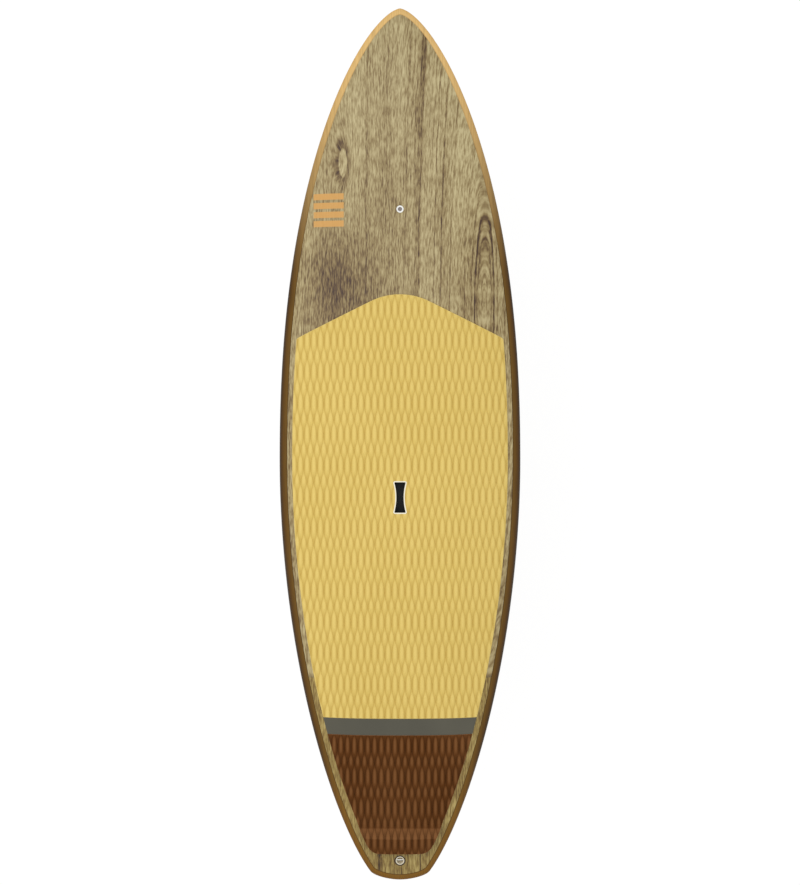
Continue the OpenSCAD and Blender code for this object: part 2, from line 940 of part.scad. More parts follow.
module fin_box() {
    screw_bore_l = screw_deep + fin_screw_l + bore_spare;
    difference() {
        box_outer();
        translate([0, -slot_back, -over])
            linear_extrude(slot_depth + over)
                square([slot_w, slot_l], center = true);
        translate([0, screw_ahead, -over])
            cylinder(d = fin_screw_d + 2 * running_gap, h = screw_bore_l + over);
    }
}

module fin_screw() {
    translate([0, screw_ahead, screw_deep])
        difference() {
            cylinder(d = fin_screw_d, h = fin_screw_l);
            translate([0, 0, -over]) cylinder(d = hex_d, h = hex_deep + over, $fn = 6);
        }
}

module fin_zone(at, out) {
    floor_z = rocker_z(at - half_l) + box_depth + insert_wall;
    translate([out, at - half_l, floor_z - tall])
        linear_extrude(tall) stadium(box_w + 2 * box_wall, box_l + 2 * box_wall);
}

module fin_insert(at, out, toe) {
    difference() {
        intersection() {
            core(0, row_ahead(side_at - half_l + box_l));
            fin_zone(at, out);
        }
        on_belly(at, out, toe) {
            box_outer();
            box_hole();
        }
    }
}

module each_fin_box() {
    for (left = [false, true])
        mirrored(left) {
            on_belly(side_at, side_out, side_toe) children();
            on_belly(quad_at, quad_out, quad_toe) children();
        }
    on_belly(centre_at, 0, 0) children();
}

module all_inserts(left) {
    handle_zone();
    vent_zone();
    leash_zone();
    fin_zone(centre_at, 0);
    mirrored(left) {
        fin_zone(side_at, side_out);
        fin_zone(quad_at, quad_out);
    }
}

module side_place(left) { mirrored(left) on_belly(side_at, side_out, side_toe) children(); }
module quad_place(left) { mirrored(left) on_belly(quad_at, quad_out, quad_toe) children(); }

module fin_box_side_left() { color("#2c2624") side_place(true) fin_box(); }
module fin_box_side_right() { color("#2c2624") side_place(false) fin_box(); }
module fin_box_quad_left() { color("#2c2624") quad_place(true) fin_box(); }
module fin_box_quad_right() { color("#2c2624") quad_place(false) fin_box(); }
module fin_box_centre() { color("#2c2624") on_belly(centre_at, 0, 0) fin_box(); }

module fin_screw_side_left() { color("#b9bbbd") side_place(true) fin_screw(); }
module fin_screw_side_right() { color("#b9bbbd") side_place(false) fin_screw(); }
module fin_screw_quad_left() { color("#b9bbbd") quad_place(true) fin_screw(); }
module fin_screw_quad_right() { color("#b9bbbd") quad_place(false) fin_screw(); }
module fin_screw_centre() { color("#b9bbbd") on_belly(centre_at, 0, 0) fin_screw(); }

module fin_insert_side_left() {
    color("#d9c48a") mirror([1, 0, 0]) fin_insert(side_at, side_out, side_toe);
}
module fin_insert_side_right() { color("#d9c48a") fin_insert(side_at, side_out, side_toe); }
module fin_insert_quad_left() {
    color("#d9c48a") mirror([1, 0, 0]) fin_insert(quad_at, quad_out, quad_toe);
}
module fin_insert_quad_right() { color("#d9c48a") fin_insert(quad_at, quad_out, quad_toe); }
module fin_insert_centre() { color("#d9c48a") fin_insert(centre_at, 0, 0); }

foam_core_left();
foam_core_right();
stringer();
rail_left();
rail_right();
deck_veneer();
tail_deck_veneer();
bottom_veneer();
tail_bottom_veneer();
deck_pad();
pad_stripe();
tail_pad();
kick_wedge();
handle_cup();
handle_bezel();
handle_insert();
vent_body();
vent_screw();
vent_seal();
vent_membrane();
vent_insert();
leash_plug();
leash_pin();
leash_collar();
leash_insert();
fin_box_side_left();
fin_box_side_right();
fin_box_quad_left();
fin_box_quad_right();
fin_box_centre();
fin_screw_side_left();
fin_screw_side_right();
fin_screw_quad_left();
fin_screw_quad_right();
fin_screw_centre();
fin_insert_side_left();
fin_insert_side_right();
fin_insert_quad_left();
fin_insert_quad_right();
fin_insert_centre();
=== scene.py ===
# %% [markdown]
# # A stand up paddleboard, dressed in Blender
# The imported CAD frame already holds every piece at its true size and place. Here the
# large pieces that show, skins, rails and pads, are modelled again with smooth curves
# and real grooves, and the small fittings keep their CAD mesh and get materials.
# Everything is in metres: +Y runs to the nose, +Z up out of the deck, and the board
# lies on the flat of its bottom with z = 0 under it.

import fnmatch
import math

import bmesh
import bpy
import numpy as np
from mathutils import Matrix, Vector


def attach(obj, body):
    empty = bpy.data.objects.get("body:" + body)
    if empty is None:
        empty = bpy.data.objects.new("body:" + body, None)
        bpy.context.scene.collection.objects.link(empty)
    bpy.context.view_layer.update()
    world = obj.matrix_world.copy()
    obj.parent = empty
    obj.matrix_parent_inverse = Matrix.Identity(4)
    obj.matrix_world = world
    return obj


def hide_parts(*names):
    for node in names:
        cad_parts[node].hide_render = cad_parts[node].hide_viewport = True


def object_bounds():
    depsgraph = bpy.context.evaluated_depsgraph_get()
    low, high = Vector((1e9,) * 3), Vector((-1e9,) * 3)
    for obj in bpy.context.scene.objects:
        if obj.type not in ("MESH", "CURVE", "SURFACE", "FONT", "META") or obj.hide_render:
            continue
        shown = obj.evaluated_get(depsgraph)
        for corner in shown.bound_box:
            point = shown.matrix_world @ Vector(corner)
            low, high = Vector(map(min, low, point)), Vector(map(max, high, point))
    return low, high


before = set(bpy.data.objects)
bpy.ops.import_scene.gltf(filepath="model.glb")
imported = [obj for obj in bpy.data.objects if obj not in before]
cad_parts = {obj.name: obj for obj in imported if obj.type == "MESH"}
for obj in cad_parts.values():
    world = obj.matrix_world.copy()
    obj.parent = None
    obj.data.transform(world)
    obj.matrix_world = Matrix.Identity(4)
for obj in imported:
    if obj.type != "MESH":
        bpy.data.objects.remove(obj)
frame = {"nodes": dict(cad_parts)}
cad_low, cad_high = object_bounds()
print("CAD nodes:", len(frame["nodes"]), "box:", cad_low[:], cad_high[:])

# %% [markdown]
# ## The camera
# The board is looked at from straight above its deck, nose up. A long way off and a
# normal lens keep the outline true, with a little perspective over the nose rocker.

# %% Camera over the deck
CAMERA_HEIGHT, CAMERA_AHEAD = 3.735, 0.026
LENS, SENSOR = 48.8, 36

camera = bpy.data.objects.new("deck_camera", bpy.data.cameras.new("deck_camera"))
bpy.context.scene.collection.objects.link(camera)
camera.location = (0, CAMERA_AHEAD, CAMERA_HEIGHT)
camera.data.lens = LENS
camera.data.sensor_width = SENSOR
bpy.context.scene.camera = camera
print("camera", CAMERA_HEIGHT, "m up, lens", LENS)

# %% [markdown]
# ## The board's lines
# A shaper draws a board with three curves: the outline from above, the rocker from the
# side, and the foil, which is how thick it is along its length. The deck then domes
# over each width, and the bottom is flat with an edge that turns up to the rail. These
# are the CAD source's own formulas, so that the smooth pieces lie on the CAD ones.

# %% Outline, rocker and foil
HALF_LENGTH, HALF_WIDTH = 1.308, 0.370
WIDEST_Y, THICKEST_Y = -0.026, -0.074
THICKNESS, NOSE_THICKNESS, TAIL_THICKNESS = 0.112, 0.028, 0.030
NOSE_ROCKER, TAIL_ROCKER = 0.180, 0.060
FLAT_FRONT, FLAT_REAR = 0.060, -0.260
NOSE_CURVE, TAIL_CURVE = 2.4, 2.0
NOSE_RUN, NOSE_POINT = 2.27, 0.652
TAIL_RUN, TAIL_POINT = 1.94, 0.75
TAIL_HALF, TAIL_ROUND, TAIL_SQUARE = 0.064, 0.026, 2.2
NOSE_FOIL, TAIL_FOIL = 1.6, 2.4
APEX_SHARE = 0.42  # height of the widest point, as a share of the thickness
DECK_DOME = 2.6
BELLY_FLAT, BELLY_TURN = 0.5, 6


def share(value, start, end):
    return np.clip((np.asarray(value, float) - start) / (end - start), 0, 1)


def between(a, b, t):
    return a + (b - a) * t


def outline_x(y):
    nose = HALF_WIDTH * (1 - share(y, WIDEST_Y, HALF_LENGTH) ** NOSE_RUN) ** NOSE_POINT
    back = (1 - share(-y, -WIDEST_Y, HALF_LENGTH) ** TAIL_RUN) ** TAIL_POINT
    corner = 1 - share(y, -HALF_LENGTH, TAIL_ROUND - HALF_LENGTH)
    tail = between(TAIL_HALF, HALF_WIDTH, back) * np.sqrt(1 - corner**TAIL_SQUARE)
    return np.where(y > WIDEST_Y, nose, tail)


def rocker_z(y):
    nose = NOSE_ROCKER * share(y, FLAT_FRONT, HALF_LENGTH) ** NOSE_CURVE
    return nose + TAIL_ROCKER * share(-y, -FLAT_REAR, HALF_LENGTH) ** TAIL_CURVE


def foil_t(y):
    nose = share(y, THICKEST_Y, HALF_LENGTH) ** NOSE_FOIL
    tail = share(-y, -THICKEST_Y, HALF_LENGTH) ** TAIL_FOIL
    return np.where(
        y > THICKEST_Y,
        between(THICKNESS, NOSE_THICKNESS, nose),
        between(THICKNESS, TAIL_THICKNESS, tail),
    )


print("widest", round(2 * float(outline_x(WIDEST_Y)), 4), "m")

# %% [markdown]
# A point on a skin is given by the row it is on and by how far inwards it lies, from 0
# on the outline to 1 on the centre line. The rows lean together like a fan towards
# both ends, which carries the dome smoothly round the nose and the tail.

# %% Points on the deck and the bottom
SPINE_REAR, SPINE_FRONT = -1.158, 1.108


def spine_y(row):
    return between(SPINE_REAR, SPINE_FRONT, share(row, -HALF_LENGTH, HALF_LENGTH))


def row_length(row):
    return np.hypot(outline_x(row), row - spine_y(row))


def deck_z(y, inward):
    dome = np.sqrt(1 - (1 - inward) ** DECK_DOME)
    return rocker_z(y) + foil_t(y) * between(APEX_SHARE, 1, dome)


def belly_z(y, inward):
    turn = 1 - np.sqrt(1 - share(1 - inward, BELLY_FLAT, 1) ** BELLY_TURN)
    return rocker_z(y) + foil_t(y) * APEX_SHARE * turn


def on_board(row, inward, side, height):
    """Points of a skin: side is -1 or 1, and height is deck_z or belly_z."""
    x = side * outline_x(row) * (1 - inward)
    y = between(row, spine_y(row), inward)
    return np.stack([x, y, height(y, inward)], -1)


def row_through(x, y):
    """The row whose line passes over (x, y), and how far inwards that is."""
    low, high = np.full_like(y, -HALF_LENGTH), np.full_like(y, HALF_LENGTH)
    for _ in range(40):
        row = (low + high) / 2
        inward = 1 - np.clip(np.abs(x) / np.maximum(outline_x(row), 1e-6), 0, 1)
        ahead = between(row, spine_y(row), inward) > y
        high, low = np.where(ahead, row, high), np.where(ahead, low, row)
    return row, inward


def deck_under(x, y):
    """Height of the deck's surface over the plan point (x, y)."""
    x, y = np.asarray(x, float), np.asarray(y, float)
    return deck_z(y, row_through(x, y)[1])


print("deck over the handle", round(float(deck_under([0.0], [-0.14])[0]), 4), "m")

# %% Where skins, rails and pads end
SKIN = 0.0014
DECK_BAND = (0.017, 0.026)  # rail's width on the deck at the ends, and amidships
BELLY_BAND = (0.008, 0.015)
PAD_BAND = (0.042, 0.042)


def line_of(band, row):
    """Inward share at which a band of this width ends on a row."""
    ends = (NOSE_THICKNESS + TAIL_THICKNESS) / 2
    fullness = share(foil_t(spine_y(row)), ends, THICKNESS)
    return between(*band, fullness) / row_length(row)


# %% [markdown]
# ## Making a mesh from a grid
# Each large sheet starts as one flat grid whose corners run from -1 to 1, and every
# corner is then moved onto the board by a formula. That keeps clean rows of four-sided
# faces, which take a smooth shade and are easy to cut.

# %% Helpers for grids and finished pieces
SHARP = math.radians(38)


def wrapped_grid(columns, rows, place):
    shape = bmesh.new()
    bmesh.ops.create_grid(shape, x_segments=columns, y_segments=rows, size=1)
    flat = np.array([v.co for v in shape.verts])
    moved = np.clip(place(flat[:, 0], flat[:, 1]), cad_low, cad_high)
    for v, place_of_v in zip(shape.verts, moved):
        v.co = place_of_v
    return shape


def everything(shape):
    return [*shape.verts, *shape.edges, *shape.faces]


def weld(shape, distance=1e-6):
    bmesh.ops.remove_doubles(shape, verts=shape.verts, dist=distance)


def in_scene(name, shape):
    """Turns a finished shape into an object of the scene."""
    mesh = bpy.data.meshes.new(name)
    shape.to_mesh(mesh)
    shape.free()
    made = bpy.data.objects.new(name, mesh)
    bpy.context.scene.collection.objects.link(made)
    return made


def loose(name, shape, closed=True):
    """A helper object that never becomes part of the board."""
    if closed:
        bmesh.ops.recalc_face_normals(shape, faces=shape.faces)
    return in_scene(name, shape)


def piece(name, shape, replaces, outward=True):
    """A finished piece in the frame, smooth but for its real edges."""
    if outward:
        bmesh.ops.recalc_face_normals(shape, faces=shape.faces)
    for face in shape.faces:
        face.smooth = True
    for edge in shape.edges:
        edge.smooth = edge.calc_face_angle(0) < SHARP
    made = in_scene(name, shape)
    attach(made, "board")
    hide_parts(replaces)
    print(name, len(made.data.polygons), "faces")
    return made


def baked(made):
    """Turns a piece's modifiers into plain mesh."""
    graph = bpy.context.evaluated_depsgraph_get()
    made.data = bpy.data.meshes.new_from_object(made.evaluated_get(graph))
    made.modifiers.clear()
    return made


def cut_out(made, *cutters):
    """Cuts each cutter from the piece, and throws the cutters away."""
    for cutter in cutters:
        hole = made.modifiers.new("hole", "BOOLEAN")
        hole.operation, hole.solver, hole.object = "DIFFERENCE", "EXACT", cutter
    baked(made)
    for cutter in cutters:
        bpy.data.objects.remove(cutter)
    return made


# %% [markdown]
# ## Cutters for the fittings' holes
# Round and long holes are drilled square to the surface they sit on, so each cutter is
# a straight shape turned to the fitting's own axis. The fin boxes are long holes with
# round ends, and the hand recess is an hourglass with rounded corners.

# %% Round, long and hourglass cutters
CUTTER_DEPTH = 0.006
FIN_BOX_WIDTH = 0.032
HANDLE_LENGTH, HANDLE_WIDTH, HANDLE_WAIST, HANDLE_ROUND = 0.099, 0.041, 0.029, 0.005
HANDLE_Y, HANDLE_LOW, HANDLE_HIGH = -0.140, 0.09, 0.13


def cylinder(radius, depth, sides):
    shape = bmesh.new()
    bmesh.ops.create_cone(shape, cap_ends=True, segments=sides, radius1=radius,
                          radius2=radius, depth=2 * depth)
    return shape


def round_cutter(centre, axis, radius, depth=CUTTER_DEPTH, sides=64):
    shape = cylinder(radius, depth, sides)
    turn = Vector((0, 0, 1)).rotation_difference(Vector(axis)).to_matrix()
    bmesh.ops.rotate(shape, verts=shape.verts, cent=(0, 0, 0), matrix=turn)
    bmesh.ops.translate(shape, verts=shape.verts, vec=centre)
    return loose("round_cutter", shape)


def long_cutter(front, rear, axis):
    """A fin box's hole: a cylinder spread apart at its middle, to two centres."""
    shape = cylinder(FIN_BOX_WIDTH / 2, CUTTER_DEPTH, 48)
    along = (Vector(front) - Vector(rear)) / 2
    ahead, up = along.normalized(), Vector(axis).normalized()
    side = ahead.cross(up)
    for v in shape.verts:
        sign = 1 if v.co.y > 1e-9 else -1
        flat = side * v.co.x + ahead * v.co.y + up * v.co.z
        v.co = (Vector(front) + Vector(rear)) / 2 + flat + along * sign
    return loose("long_cutter", shape)


def hourglass_cutter():
    """The hand recess's outline: a rounded block with a round bite in each side."""
    height = HANDLE_HIGH - HANDLE_LOW
    middle = (HANDLE_LOW + HANDLE_HIGH) / 2
    shape = bmesh.new()
    bmesh.ops.create_cube(shape, size=1)
    size = (HANDLE_WIDTH, HANDLE_LENGTH, height)
    bmesh.ops.scale(shape, verts=shape.verts, vec=size)
    upright = [e for e in shape.edges if abs(e.verts[0].co.z - e.verts[1].co.z) > 1e-4]
    bmesh.ops.bevel(shape, geom=upright, offset=HANDLE_ROUND, segments=6, profile=0.5,
                    affect="EDGES", material=-1)
    bmesh.ops.translate(shape, verts=shape.verts, vec=(0, HANDLE_Y, middle))
    bite = (HANDLE_WIDTH - HANDLE_WAIST) / 2
    reach = HANDLE_LENGTH / 2 - HANDLE_ROUND
    radius = (reach**2 + bite**2) / (2 * bite)
    bites = [round_cutter((side * (HANDLE_WAIST / 2 + radius), HANDLE_Y, middle),
                          (0, 0, 1), radius, height, 256) for side in (-1, 1)]
    return cut_out(loose("hourglass_cutter", shape), *bites)


# %% [markdown]
# ## The deck and bottom skins
# The real skins are thin sheets of wood veneer with clear glass over them, bent over
# the foam core. Each is one wrapped grid, closer towards the rail where the dome bends
# most, then given its 1.4 mm of thickness by a Solidify modifier. The tail has its own
# sheet on both faces, joined straight across on the deck and in a shallow V below.

# %% The four skins
VENT_CENTRE, VENT_AXIS = (0, 0.7302, 0.1139), (0, -0.07443, 0.99723)
VENT_RADIUS = 0.0108
COLLAR_CENTRE, COLLAR_AXIS = (0, -1.2444, 0.0890), (0, -0.12388, 0.9923)
COLLAR_RADIUS = 0.0163
SKIN_COLUMNS, SKIN_ROWS = 56, 200


def skin_sheet(shape_of, keep_front, replaces, name):
    """A grid closer together near the rail, cut on both halves along its joint."""
    band, height, facing, joint_y, rise = shape_of

    def place(across, along):
        row = HALF_LENGTH * np.sin(np.pi / 2 * along)
        inward = 1 - (1 - line_of(band, row)) * np.sin(np.pi / 2 * np.abs(across))
        return on_board(row, inward, facing * np.sign(across), height)

    def is_front(face):
        centre = face.calc_center_median()
        return centre.y > joint_y + rise * abs(centre.x)

    shape = wrapped_grid(SKIN_COLUMNS, SKIN_ROWS, place)
    weld(shape)
    for side in (-1, 1):
        half = [f for f in shape.faces if side * f.calc_center_median().x > 0]
        edges = {e for f in half for e in f.edges}
        verts = {v for f in half for v in f.verts}
        bmesh.ops.bisect_plane(shape, geom=[*verts, *edges, *half],
                               plane_co=(0, joint_y, 0), plane_no=(-side * rise, 1, 0))
    gone = [f for f in shape.faces if is_front(f) != keep_front]
    bmesh.ops.delete(shape, geom=gone, context="FACES")
    return thickened(piece(name, shape, replaces, outward=False))


def thickened(made, thickness=SKIN):
    """Grows the sheet inwards, away from the way its faces point."""
    wall = made.modifiers.new("thickness", "SOLIDIFY")
    wall.thickness, wall.offset, wall.use_even_offset = thickness, -1, True
    return baked(made)


DECK = (DECK_BAND, deck_z, 1, -0.690, 0)  # joint's place, and how it leans forwards
BELLY = (BELLY_BAND, belly_z, -1, -0.696, 0.054 / 0.292)

deck_skin = skin_sheet(DECK, True, "deck_veneer", "deck_skin")
cut_out(deck_skin, round_cutter(VENT_CENTRE, VENT_AXIS, VENT_RADIUS),
        hourglass_cutter())
tail_deck_skin = skin_sheet(DECK, False, "tail_deck_veneer",
                            "tail_deck_skin")
cut_out(tail_deck_skin, round_cutter(COLLAR_CENTRE, COLLAR_AXIS, COLLAR_RADIUS))
bottom_skin = skin_sheet(BELLY, True, "bottom_veneer", "bottom_skin")
tail_bottom_skin = skin_sheet(BELLY, False, "tail_bottom_veneer",
                              "tail_bottom_skin")

# %% Fin box holes
FIN_BOX_ENDS = (  # centres of the outer boxes' round ends, and how their axis leans
    ((0.203509, -0.812703, 0.0172), (0.206861, -0.925297, 0.0262), 0.07934),
    ((0.136583, -0.959699, 0.0269), (0.137963, -1.072301, 0.0363), 0.08302),
)
cutters = [long_cutter((0, -1.004715, 0.0304), (0, -1.117285, 0.0403),
                       (0, 0.08718, 0.99619))]
for front, rear, lean in FIN_BOX_ENDS:
    for side in (-1, 1):
        ends = [(side * x, y, z) for x, y, z in (front, rear)]
        cutters.append(long_cutter(*ends, (0, lean, 1)))
cut_out(tail_bottom_skin, *cutters)

# %% [markdown]
# ## The rails
# A rail is the board's rounded side. On the real board it is built up and sanded round,
# then stained dark and clear coated. Its section here is a closed ring: over the deck
# edge, round the widest point, under to the bottom and back up inside. Points sit
# closer together near the widest point, where the curve is tightest.

# %% Rails, with a value that runs round each section
OVER_STEPS, UNDER_STEPS, RAIL_ROWS = 16, 12, 260

over = np.linspace(1, 0, OVER_STEPS + 1)
under = np.linspace(0, 1, UNDER_STEPS + 1)[1:]
RING = [(t, "deck", 0.5 * (1 - t)) for t in over]
RING += [(t, "belly", 0.5 + 0.5 * t) for t in under]
RING += [(1, "belly inside", 1), (1, "deck inside", 0), (1, "deck", 0)]


def rail_place(side):
    def place(across, along):
        row = HALF_LENGTH * np.sin(np.pi / 2 * along)
        step = np.rint((across + 1) / 2 * (len(RING) - 1)).astype(int)
        share_of_band = np.array([t for t, _, _ in RING])[step] ** 2
        kind = np.array([k for _, k, _ in RING])[step]
        upper = np.char.startswith(kind, "deck")
        line = np.where(upper, line_of(DECK_BAND, row), line_of(BELLY_BAND, row))
        line = line * share_of_band
        top = on_board(row, line, side, deck_z)
        low = on_board(row, line, side, belly_z)
        points = np.where(upper[:, None], top, low)
        points[:, 2] += np.where(kind == "belly inside", SKIN, 0)
        points[:, 2] -= np.where(kind == "deck inside", SKIN, 0)
        return points

    return place


def rail(name, side, replaces):
    shape = wrapped_grid(len(RING) - 1, RAIL_ROWS, rail_place(side))
    round_value = shape.verts.layers.float.new("round_rail")
    shape.verts.ensure_lookup_table()
    for index, v in enumerate(shape.verts):
        v[round_value] = RING[index % len(RING)][2]
    weld(shape)
    bmesh.ops.holes_fill(shape, edges=[e for e in shape.edges if e.is_boundary])
    return piece(name, shape, replaces)


right_rail = rail("right_rail", 1, "rail_right")
left_rail = rail("left_rail", -1, "rail_left")

# %% [markdown]
# ## The grooved deck pad
# Traction pads are sheets of closed-cell foam, 5 mm thick, with grooves milled in by a
# router. Here the grooves wave against each other, so they shut the foam into long
# lens-shaped pillows, each row half a lens out of step with the next. The sheet is a
# grid whose columns follow the grooves. It is cut to its outline with planes, its edge
# is chamfered and turned down, and only then is it laid over the dome of the deck.

# %% Groove lines and the sheet they are cut in
PAD_T, STRIPE_T, THINNEST = 0.005, 0.004, 0.0003
LENS_WIDTH, LENS_LENGTH, LENS_SWELL = 0.0205, 0.0946, 0.0042
GROOVE_DEPTH, GROOVE_HALF, CHAMFER = 0.0011, 0.0026, 0.0012
ROW_STEP = LENS_LENGTH / 12
PAD_HALF, TAIL_PAD_HALF, SPARE = 0.335, 0.26, 0.005  # sheets before they are cut


def groove_x(index, y):
    """Where groove number index runs at y."""
    turn = 2 * np.pi * y / LENS_LENGTH
    wave = np.cos(turn + 0.35 * np.sin(turn))
    return LENS_WIDTH / 2 * index + np.where(index % 2 == 0, 1, -1) * LENS_SWELL * wave


def groove_sheet(half_width, rear, front, row_step):
    """A flat sheet with a groove at every third column. z holds the groove's depth."""
    strips = 2 * math.ceil(half_width / (LENS_WIDTH / 2) + 0.5)
    rows = math.ceil((front - rear) / row_step)

    def place(across, along):
        column = np.rint((across + 1) / 2 * 3 * strips).astype(int)
        index = column // 3 - strips // 2
        y = between(rear, front, (along + 1) / 2)
        left, right = groove_x(index, y), groove_x(index + 1, y)
        flank = np.minimum(GROOVE_HALF, 0.4 * (right - left))
        x = np.choose(column % 3, [left, left + flank, right - flank])
        z = np.where(column % 3 == 0, cad_low.z, cad_low.z + GROOVE_DEPTH)
        return np.stack([x, y, z], -1)

    return wrapped_grid(3 * strips, rows, place)


# %% [markdown]
# The pads' outlines are convex, so each is a set of straight cuts: along the line
# 42 mm inside the board's edge, round the blunt peak and shoulders of the front, and
# round the corners of the tail pad.

# %% Outlines as cutting planes
PEAK_Y, PEAK_ROUND = 0.474, 0.200
SHOULDER_X, SHOULDER_DROP, SHOULDER_ROUND = 0.320, 0.125, 0.024
STRIPE_FRONT, STRIPE_REAR = -0.809, -0.860
REAR_Y, REAR_HALF, REAR_ROUND = -1.216, 0.062, 0.040
RAMP_FOOT_Y, RAMP_LENGTH, KICK_HEIGHT = -1.139, 0.029, 0.022


def round_cuts(centre, radius, start, end, steps=12):
    """Planes that touch a circle from one direction to another, in degrees."""
    cuts = []
    for angle in np.radians(np.linspace(start, end, steps)):
        away = Vector((math.cos(angle), math.sin(angle), 0))
        cuts.append((Vector((*centre, 0)) + radius * away, away))
    return cuts


def tangent_angle(centre, radius, far, far_radius=0.0, turn=1):
    """Where, in degrees round the first circle, a line leaves it for the second."""
    dx, dy = far[0] - centre[0], far[1] - centre[1]
    swing = math.acos((radius - far_radius) / math.hypot(dx, dy))
    return math.degrees(math.atan2(dy, dx) + turn * swing)


def side_cuts(rear, front, steps=48):
    """Planes along the line where the pads stop short of the rail."""
    rows = np.linspace(rear, front, steps)
    line = on_board(rows, line_of(PAD_BAND, rows), 1, deck_z)
    cuts = []
    for a, b in zip(line, line[1:]):
        away = Vector((b[1] - a[1], a[0] - b[0], 0)).normalized()
        cuts.append((Vector((a[0], a[1], 0)), away))
    return cuts


def both_sides(cuts):
    mirrored = [(Vector((-p.x, p.y, 0)), Vector((-n.x, n.y, 0))) for p, n in cuts]
    return cuts + mirrored


def straight_cut(y, towards):
    return [(Vector((0, y, 0)), Vector((0, towards, 0)))]


peak = (0, PEAK_Y - PEAK_ROUND)
shoulder_y = PEAK_Y - SHOULDER_DROP
shoulder = (SHOULDER_X - SHOULDER_ROUND, shoulder_y - SHOULDER_ROUND)
to_shoulder = tangent_angle(peak, PEAK_ROUND, shoulder, SHOULDER_ROUND)
wide_point = (HALF_WIDTH, shoulder_y - 8 * SHOULDER_ROUND)
to_side = tangent_angle(shoulder, SHOULDER_ROUND, wide_point)
front_cuts = round_cuts(peak, PEAK_ROUND, 90, to_shoulder, 14)
front_cuts += round_cuts(shoulder, SHOULDER_ROUND, to_shoulder, to_side, 8)

rear_corner = (REAR_HALF, REAR_Y + REAR_ROUND)
rear_aim = (HALF_WIDTH, RAMP_FOOT_Y + HALF_WIDTH)
rear_turn = tangent_angle(rear_corner, REAR_ROUND, rear_aim, turn=-1)
rear_cuts = round_cuts(rear_corner, REAR_ROUND, -90, rear_turn, 10)

deck_pad_cuts = both_sides(side_cuts(-0.95, 0.62) + front_cuts)
deck_pad_cuts += straight_cut(STRIPE_FRONT, -1)
stripe_cuts = both_sides(side_cuts(-1.0, -0.7, 16))
stripe_cuts += straight_cut(STRIPE_FRONT, 1) + straight_cut(STRIPE_REAR, -1)
tail_pad_cuts = both_sides(side_cuts(-1.295, -0.75, 40) + rear_cuts)
tail_pad_cuts += straight_cut(STRIPE_REAR, 1)
print(len(deck_pad_cuts), "cuts round the deck pad")

# %% [markdown]
# A cut sheet gets a rim. Its edge is pushed out and down for the chamfer, then straight
# down for the wall. A copy of the sheet, turned over, closes it underneath.

# %% Cut, chamfer and lay a sheet on the deck


def cut_to(shape, cuts, inset=0.0):
    for point, away in cuts:
        bmesh.ops.bisect_plane(
            shape, geom=everything(shape), dist=1e-7,
            plane_co=point - inset * away, plane_no=away, clear_outer=True,
        )


def pushed_out(shape, distance):
    """Moves the sheet's open edge outwards in plan."""
    away = {}
    for edge in shape.edges:
        if edge.is_boundary:
            loop = edge.link_loops[0]
            run = loop.link_loop_next.vert.co - loop.vert.co
            out = Vector((run.y, -run.x, 0)).normalized()
            for v in edge.verts:
                away.setdefault(v, []).append(out)
    for v, outs in away.items():
        if len(outs) == 2:
            half = outs[0] + outs[1]
            v.co += distance * 2 * half / max(half.length_squared, 1e-9)


def extruded_rim(shape):
    rim = [e for e in shape.edges if e.is_boundary]
    made = bmesh.ops.extrude_edge_only(shape, edges=rim)["geom"]
    return [g for g in made if isinstance(g, bmesh.types.BMVert)]


def laid_pad(name, shape, cuts, replaces, base_z, top_z):
    """base_z(x, y) is what the sheet lies on, and top_z(x, y) is its upper face."""
    cut_to(shape, cuts, CHAMFER)
    drop = shape.verts.layers.float.new("drop")
    groove = shape.verts.layers.float.new("pad_groove")
    edge = shape.verts.layers.float.new("pad_edge")
    for v in shape.verts:
        v[drop] = GROOVE_DEPTH - (v.co.z - cad_low.z)
        v[groove] = v[drop] / GROOVE_DEPTH
    below = shape.copy()
    pushed_out(below, CHAMFER)
    bmesh.ops.reverse_faces(below, faces=below.faces)
    lowest = below.verts.layers.float["drop"]
    for v in below.verts:
        v[lowest] = -1
    for v in extruded_rim(shape):
        v[drop], v[edge], v[groove] = CHAMFER, 1, 0
    pushed_out(shape, CHAMFER)
    for v in extruded_rim(shape):
        v[drop], v[edge] = -1, 0
    underside = bpy.data.meshes.new("underside")
    below.to_mesh(underside)
    shape.from_mesh(underside)
    below.free()
    bpy.data.meshes.remove(underside)
    drop = shape.verts.layers.float["drop"]  # joining meshes can reorder layers

    places = np.array([v.co for v in shape.verts])
    base = base_z(places[:, 0], places[:, 1])
    top = np.maximum(top_z(places[:, 0], places[:, 1]), base)
    thin = {v for v, gap in zip(shape.verts, top - base) if gap < THINNEST}
    for v, low, high in zip(shape.verts, base, top):
        bare = v[drop] < -0.5 or high - low < THINNEST
        v.co.z = min(low if bare else high - v[drop], cad_high.z)
    gone = [f for f in shape.faces if all(v in thin for v in f.verts)]
    bmesh.ops.delete(shape, geom=gone, context="FACES")
    weld(shape)
    return piece(name, shape, replaces)


def on_deck(height):
    return lambda x, y: deck_under(x, y) + height


deck_pad = laid_pad(
    "grooved_deck_pad", groove_sheet(PAD_HALF, -0.815, 0.478, ROW_STEP),
    deck_pad_cuts, "deck_pad", on_deck(0), on_deck(PAD_T),
)
cut_out(deck_pad, hourglass_cutter())

# %% [markdown]
# ## The stripe, the tail pad and its kick
# Behind the deck pad lies one smooth dark stripe, and then the brown tail pad with the
# same grooves. Its rear climbs a ramp onto a foam wedge, the kick, against which the
# rear foot presses in a turn. The wedge is a black sheet with no grooves, whose upper
# face is the lower one of the ramp and of a level 22 mm above the deck.

# %% Stripe, kick wedge and tail pad


